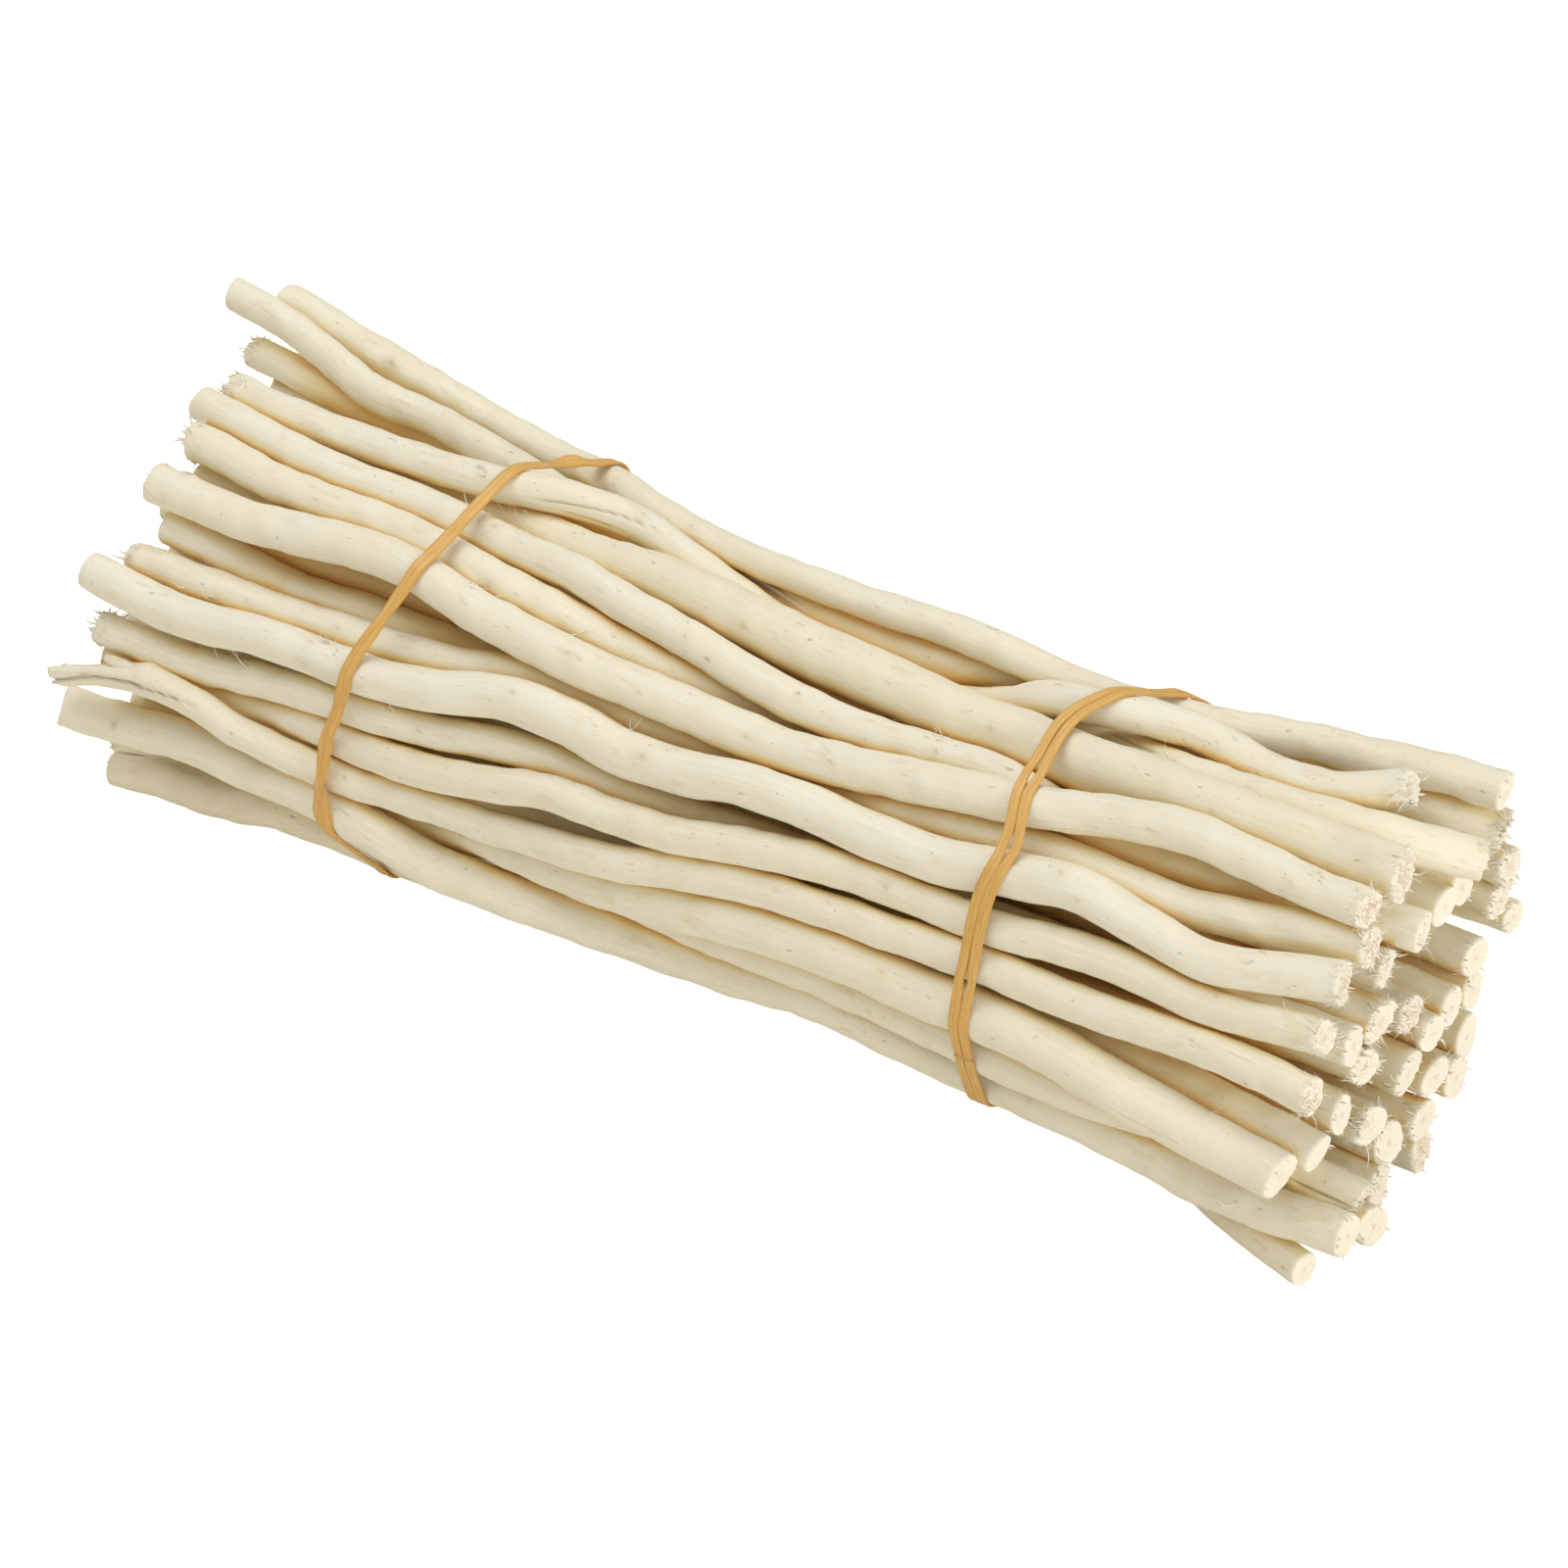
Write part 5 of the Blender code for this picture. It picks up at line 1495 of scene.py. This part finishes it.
class TwigSettings(bpy.types.PropertyGroup):
    """Sizes and colours of the twigs."""

    ring_spacing: size_property("Ring spacing", "Between the rings of a seen twig", 0.0011)
    hidden_ring_spacing: size_property(
        "Hidden ring spacing", "Between the rings of a hidden twig", 0.0030)
    sides: count_property("Sides", "Points round a seen twig", 40)
    hidden_sides: count_property("Hidden sides", "Points round a hidden twig", 32)
    lump: size_property("Lump height", "Height of the gentle lumps along a twig", 0.00010)
    small_knots: count_property("Small knots", "On each twig besides the named ones", 4)
    ivory: colour_property("Ivory", "Peeled wood", (0.930, 0.908, 0.800))
    # warm ivory also carries the painted shade that the tone holds
    ivory_warm: colour_property("Warm ivory", "Peeled wood, warmer areas", (0.900, 0.838, 0.645))
    grain: colour_property("Grain", "The fine long streaks", (0.800, 0.690, 0.470))
    mark: colour_property("Marks", "Small marks along the grain", (0.420, 0.330, 0.180))
    # colours of the painted shade between twigs and deep in the bundle
    gap: colour_property("Gap shade", "Wood that faces other twigs", (0.885, 0.735, 0.385))
    deep_gap_shade: colour_property("Deep gap shade", "Wood deep between other twigs", (0.890, 0.560, 0.180))
    blot: colour_property("Blots", "Faint tan patches", (0.740, 0.610, 0.380))
    knot: colour_property("Knots", "The eyes of knots", (0.620, 0.490, 0.270))
    # the dirt colour is also the painted shade in the cracks
    dirt: colour_property("Dirt", "Grey brown patches", (0.380, 0.310, 0.170))
    cut_face: colour_property("Cut face", "The pale cut ends", (0.970, 0.935, 0.845))
    cut_shade: colour_property("Cut shade", "Pores in the cut ends", (0.910, 0.830, 0.670))
    pith: colour_property("Pith", "The middle of a cut end", (0.660, 0.480, 0.270))
    rough: colour_property("Rough ends", "Brown specks on rough ends", (0.560, 0.330, 0.120))
    fresh: colour_property("Torn fibres", "Fresh torn fibres and rims", (0.955, 0.920, 0.800))


class BandSettings(bpy.types.PropertyGroup):
    """Sizes and colours of the rubber bands."""

    thickness: size_property("Thickness", "Thickness of the rubber", 0.0009)
    left_width: size_property("Left width", "Width of the single strap", 0.0042)
    strand_width: size_property("Strand width", "Each strand of the doubled band", 0.0031)
    strand_offset: size_property("Strand offset", "From the middle to each strand", 0.00150)
    fold: size_property("Fold", "Depth of the fold along the middle", 0.00016)
    amber: colour_property("Amber", "The rubber", (0.880, 0.590, 0.220))
    # deep amber is both the real streaks and the painted shade in the fold; the edge colour is
    # painted shade
    amber_streak_and_fold_shade: colour_property("Deep amber", "The rubber's darker streaks", (0.640, 0.330, 0.055))
    amber_edge_shade: colour_property("Amber edge", "The rubber's edges", (0.620, 0.320, 0.050))


class StageSettings(bpy.types.PropertyGroup):
    """The floor and the light."""

    floor_side: size_property("Floor side", "Side of the floor", 14.0)
    floor_colour: colour_property("Floor", "The pale floor", (0.92, 0.89, 0.81))
    sky_colour: colour_property("Sky colour", "The light from all round", (1.0, 0.94, 0.82))
    floor_glow: size_property("Floor glow", "Light that the floor gives of itself", 0.9, "NONE")
    sky: size_property("Sky", "Strength of the light from all round", 0.48, "NONE")
    key: size_property("Key light", "Power of the large light above", 16.5, "POWER")
    fill: size_property("Fill light", "Power of the light near the camera", 1.5, "POWER")
    side: size_property("Side light", "Power of the light on the cut ends", 20.0, "POWER")


class BundleSettings(bpy.types.PropertyGroup):
    """All settings of the bundle."""

    twigs: bpy.props.PointerProperty(type=TwigSettings)
    bands: bpy.props.PointerProperty(type=BandSettings)
    stage: bpy.props.PointerProperty(type=StageSettings)


# Operators


class BUNDLE_OT_twigs(bpy.types.Operator):
    """Shapes every twig with its cut ends, knots and cracks"""

    bl_idname = "bundle.twigs"
    bl_label = "Twigs"

    def execute(self, context):
        settings = context.scene.twig_bundle.twigs
        material = wood_material(settings)
        TWIGS.clear()
        read_lines()
        for number in range(1, TWIG_COUNT + 1):
            twig = Twig(number, settings)
            twig.build(settings, material)
            TWIGS.append(twig)
        return {"FINISHED"}


class BUNDLE_OT_fibres(bpy.types.Operator):
    """Adds the torn fibres at the cut ends and along the twigs"""

    bl_idname = "bundle.fibres"
    bl_label = "Fibres"

    def execute(self, context):
        material = bpy.data.materials["peeled wood"]
        for end, name in ((0, "fibres_left_ends"), (1, "fibres_right_ends")):
            rims = [rim_strands(twig, end) for twig in TWIGS]
            shreds = [shred_strands(twig, end) for twig in TWIGS]
            put_strands(name, rims + shreds, material)
        put_strands("fibres_on_cuts", [face_strands(twig, 1) for twig in TWIGS], material)
        tufts = [stray_strands(twig, SEEN_HAIRS) for twig in TWIGS[:SEEN_TWIGS]]
        tufts += [stray_strands(twig, HIDDEN_HAIRS) for twig in TWIGS[SEEN_TWIGS:]]
        for twig in TWIGS:
            for tuft in TUFTS.get(twig.name, ()):
                tufts.append(tuft_strands(twig, *tuft))
        put_strands("fibres_along_twigs", tufts, material)
        for twig in TWIGS:
            for number, values in enumerate(SPLINTERS.get(twig.name, ()), start=1):
                put_splinter(twig, number, values, material)
        return {"FINISHED"}


class BUNDLE_OT_bands(bpy.types.Operator):
    """Shapes the two rubber bands round the twigs"""

    bl_idname = "bundle.bands"
    bl_label = "Rubber bands"

    def execute(self, context):
        settings = context.scene.twig_bundle.bands
        material = rubber_material(settings)
        path = shifted_course("band_left", settings)
        line, x, out, turn = band_loop(path, 0.5 * settings.left_width, settings)
        roll = np.zeros(len(line))
        rng = np.random.default_rng(BAND_LEFT_SEED)
        width = settings.left_width * (1.0 + 0.5 * slow_change(rng, turn, 0.10))
        for across, down, share in BAND_WIDTHS:
            width = width * (1.0 + share * bell_at(line, x, across, down))
        for across, down, angle in BAND_ROLLS:
            roll = roll + angle * bell_at(line, x, across, down)
        surface = strap_surface(line, x, out, width, roll, np.zeros(len(line)), settings)
        put_strap("rubber_band_left", surface, "band_left", material)

        half = settings.strand_offset + 0.5 * settings.strand_width
        path = shifted_course("band_right", settings)
        line, x, out, turn = band_loop(path, half, settings)
        start = int(np.abs(turn_between(turn, CROSSING_ANGLE + math.pi)).argmin())
        line, x, out, turn = (
            np.roll(values, -start, axis=0) for values in (line, x, out, turn)
        )
        angle = turn_between(turn, CROSSING_ANGLE)
        share = np.clip(0.5 + 0.5 * angle / CROSSING_SPREAD, 0.0, 1.0)
        change = share * share * (3.0 - 2.0 * share)
        shift = settings.strand_offset * (1.0 - 2.0 * change)
        near = np.clip(1.7 - np.abs(angle) / CROSSING_SPREAD, 0.0, 0.6) / 0.6
        rise = near * 1.1 * settings.thickness
        rng = np.random.default_rng(BAND_RIGHT_SEED)
        slits = np.zeros(len(line))
        for across, down, share in BAND_SLITS:
            slits = slits + share * bell_at(line, x, across, down)
        spread = 1.0 + 0.3 * slits
        width = settings.strand_width * np.concatenate([
            1.0 + slow_change(rng, turn, 0.08) - 0.16 * slits,
            1.0 + slow_change(rng, turn, 0.08) - 0.16 * slits,
        ])
        line = np.concatenate([line, line])
        out = np.concatenate([out, out])
        x = np.concatenate([x + shift * spread, x - shift * spread])
        rise = np.concatenate([rise, np.zeros(len(shift))])
        surface = strap_surface(line, x, out, width, np.zeros(len(line)), rise, settings)
        put_strap("rubber_band_right", surface, "band_right", material)
        return {"FINISHED"}


class BUNDLE_OT_stage(bpy.types.Operator):
    """Sets the floor, the lights and the camera"""

    bl_idname = "bundle.stage"
    bl_label = "Stage"

    def execute(self, context):
        scene = context.scene
        settings = scene.twig_bundle.stage
        half = 0.5 * settings.floor_side
        corners = np.array([
            (-half, -half, 0.0), (half, -half, 0.0), (half, half, 0.0), (-half, half, 0.0),
        ])
        floor_material, tree, shader = new_material("pale floor")
        shader.inputs["Base Color"].default_value = opaque(settings.floor_colour)
        shader.inputs["Roughness"].default_value = 0.9
        shader.inputs["Emission Color"].default_value = (1.0, 1.0, 1.0, 1.0)
        path = node(tree, "ShaderNodeLightPath")
        glow = times(tree, path.outputs["Is Camera Ray"], settings.floor_glow)
        tree.links.new(glow, shader.inputs["Emission Strength"])
        floor = put_mesh("floor", corners, [np.array([[0, 1, 2, 3]])], floor_material)

        world = bpy.data.worlds.new("soft sky")
        scene.world = world
        world.use_nodes = True
        background = world.node_tree.nodes["Background"]
        background.inputs["Color"].default_value = opaque(settings.sky_colour)
        background.inputs["Strength"].default_value = settings.sky
        self.lamp(scene, "key", settings.key)
        self.lamp(scene, "fill", settings.fill)
        self.lamp(scene, "side", settings.side)

        data = bpy.data.cameras.new("camera")
        data.sensor_width = SENSOR_WIDTH
        data.lens = SENSOR_WIDTH * FOCAL / PICTURE_SIDE
        data.clip_start = 0.1
        data.clip_end = 50.0
        camera = bpy.data.objects.new("camera", data)
        camera.location = CAMERA
        camera.rotation_euler = (0.5 * math.pi - VIEW_ELEVATION, 0.0, VIEW_AZIMUTH)
        scene.collection.objects.link(camera)
        scene.camera = camera
        scene.view_settings.view_transform = "Standard"
        return {"FINISHED"}

    def lamp(self, scene, name, power):
        """A square light that faces the bundle."""
        place, side = LAMPS[name]
        data = bpy.data.lights.new(name + " light", "AREA")
        data.shape = "SQUARE"
        data.size = side
        data.energy = power
        thing = bpy.data.objects.new(name + " light", data)
        thing.location = place
        away = LIT_POINT - np.array(place)
        flat = math.hypot(away[0], away[1])
        thing.rotation_euler = (
            math.atan2(flat, -away[2]), 0.0, math.atan2(away[1], away[0]) - 0.5 * math.pi,
        )
        scene.collection.objects.link(thing)


class BUNDLE_PT_panel(bpy.types.Panel):
    """The bundle's settings and steps"""

    bl_idname = "BUNDLE_PT_panel"
    bl_label = "Bundle of Twigs"
    bl_space_type = "VIEW_3D"
    bl_region_type = "UI"
    bl_category = "Twigs"

    def draw(self, context):
        settings = context.scene.twig_bundle
        for group, title in (
            (settings.twigs, "Twigs"), (settings.bands, "Bands"), (settings.stage, "Stage"),
        ):
            box = self.layout.box()
            box.label(text=title)
            for name in group.bl_rna.properties.keys():
                if name not in ("rna_type", "name"):
                    box.prop(group, name)
        for step in STEPS:
            self.layout.operator(step.bl_idname)


STEPS = (BUNDLE_OT_twigs, BUNDLE_OT_fibres, BUNDLE_OT_bands, BUNDLE_OT_stage)
CLASSES = (TwigSettings, BandSettings, StageSettings, BundleSettings) + STEPS + (BUNDLE_PT_panel,)


def register():
    for item in CLASSES:
        bpy.utils.register_class(item)
    bpy.types.Scene.twig_bundle = bpy.props.PointerProperty(type=BundleSettings)


def unregister():
    del bpy.types.Scene.twig_bundle
    for item in reversed(CLASSES):
        bpy.utils.unregister_class(item)


def clear_start_objects():
    """Removes what a new Blender scene holds besides the frame."""
    for name in ("Cube", "Light", "Camera"):
        thing = bpy.data.objects.get(name)
        if thing is not None:
            bpy.data.objects.remove(thing)


def main():
    register()
    clear_start_objects()
    bpy.ops.bundle.twigs()
    bpy.ops.bundle.fibres()
    bpy.ops.bundle.bands()
    bpy.ops.bundle.stage()


if __name__ == "__main__":
    main()
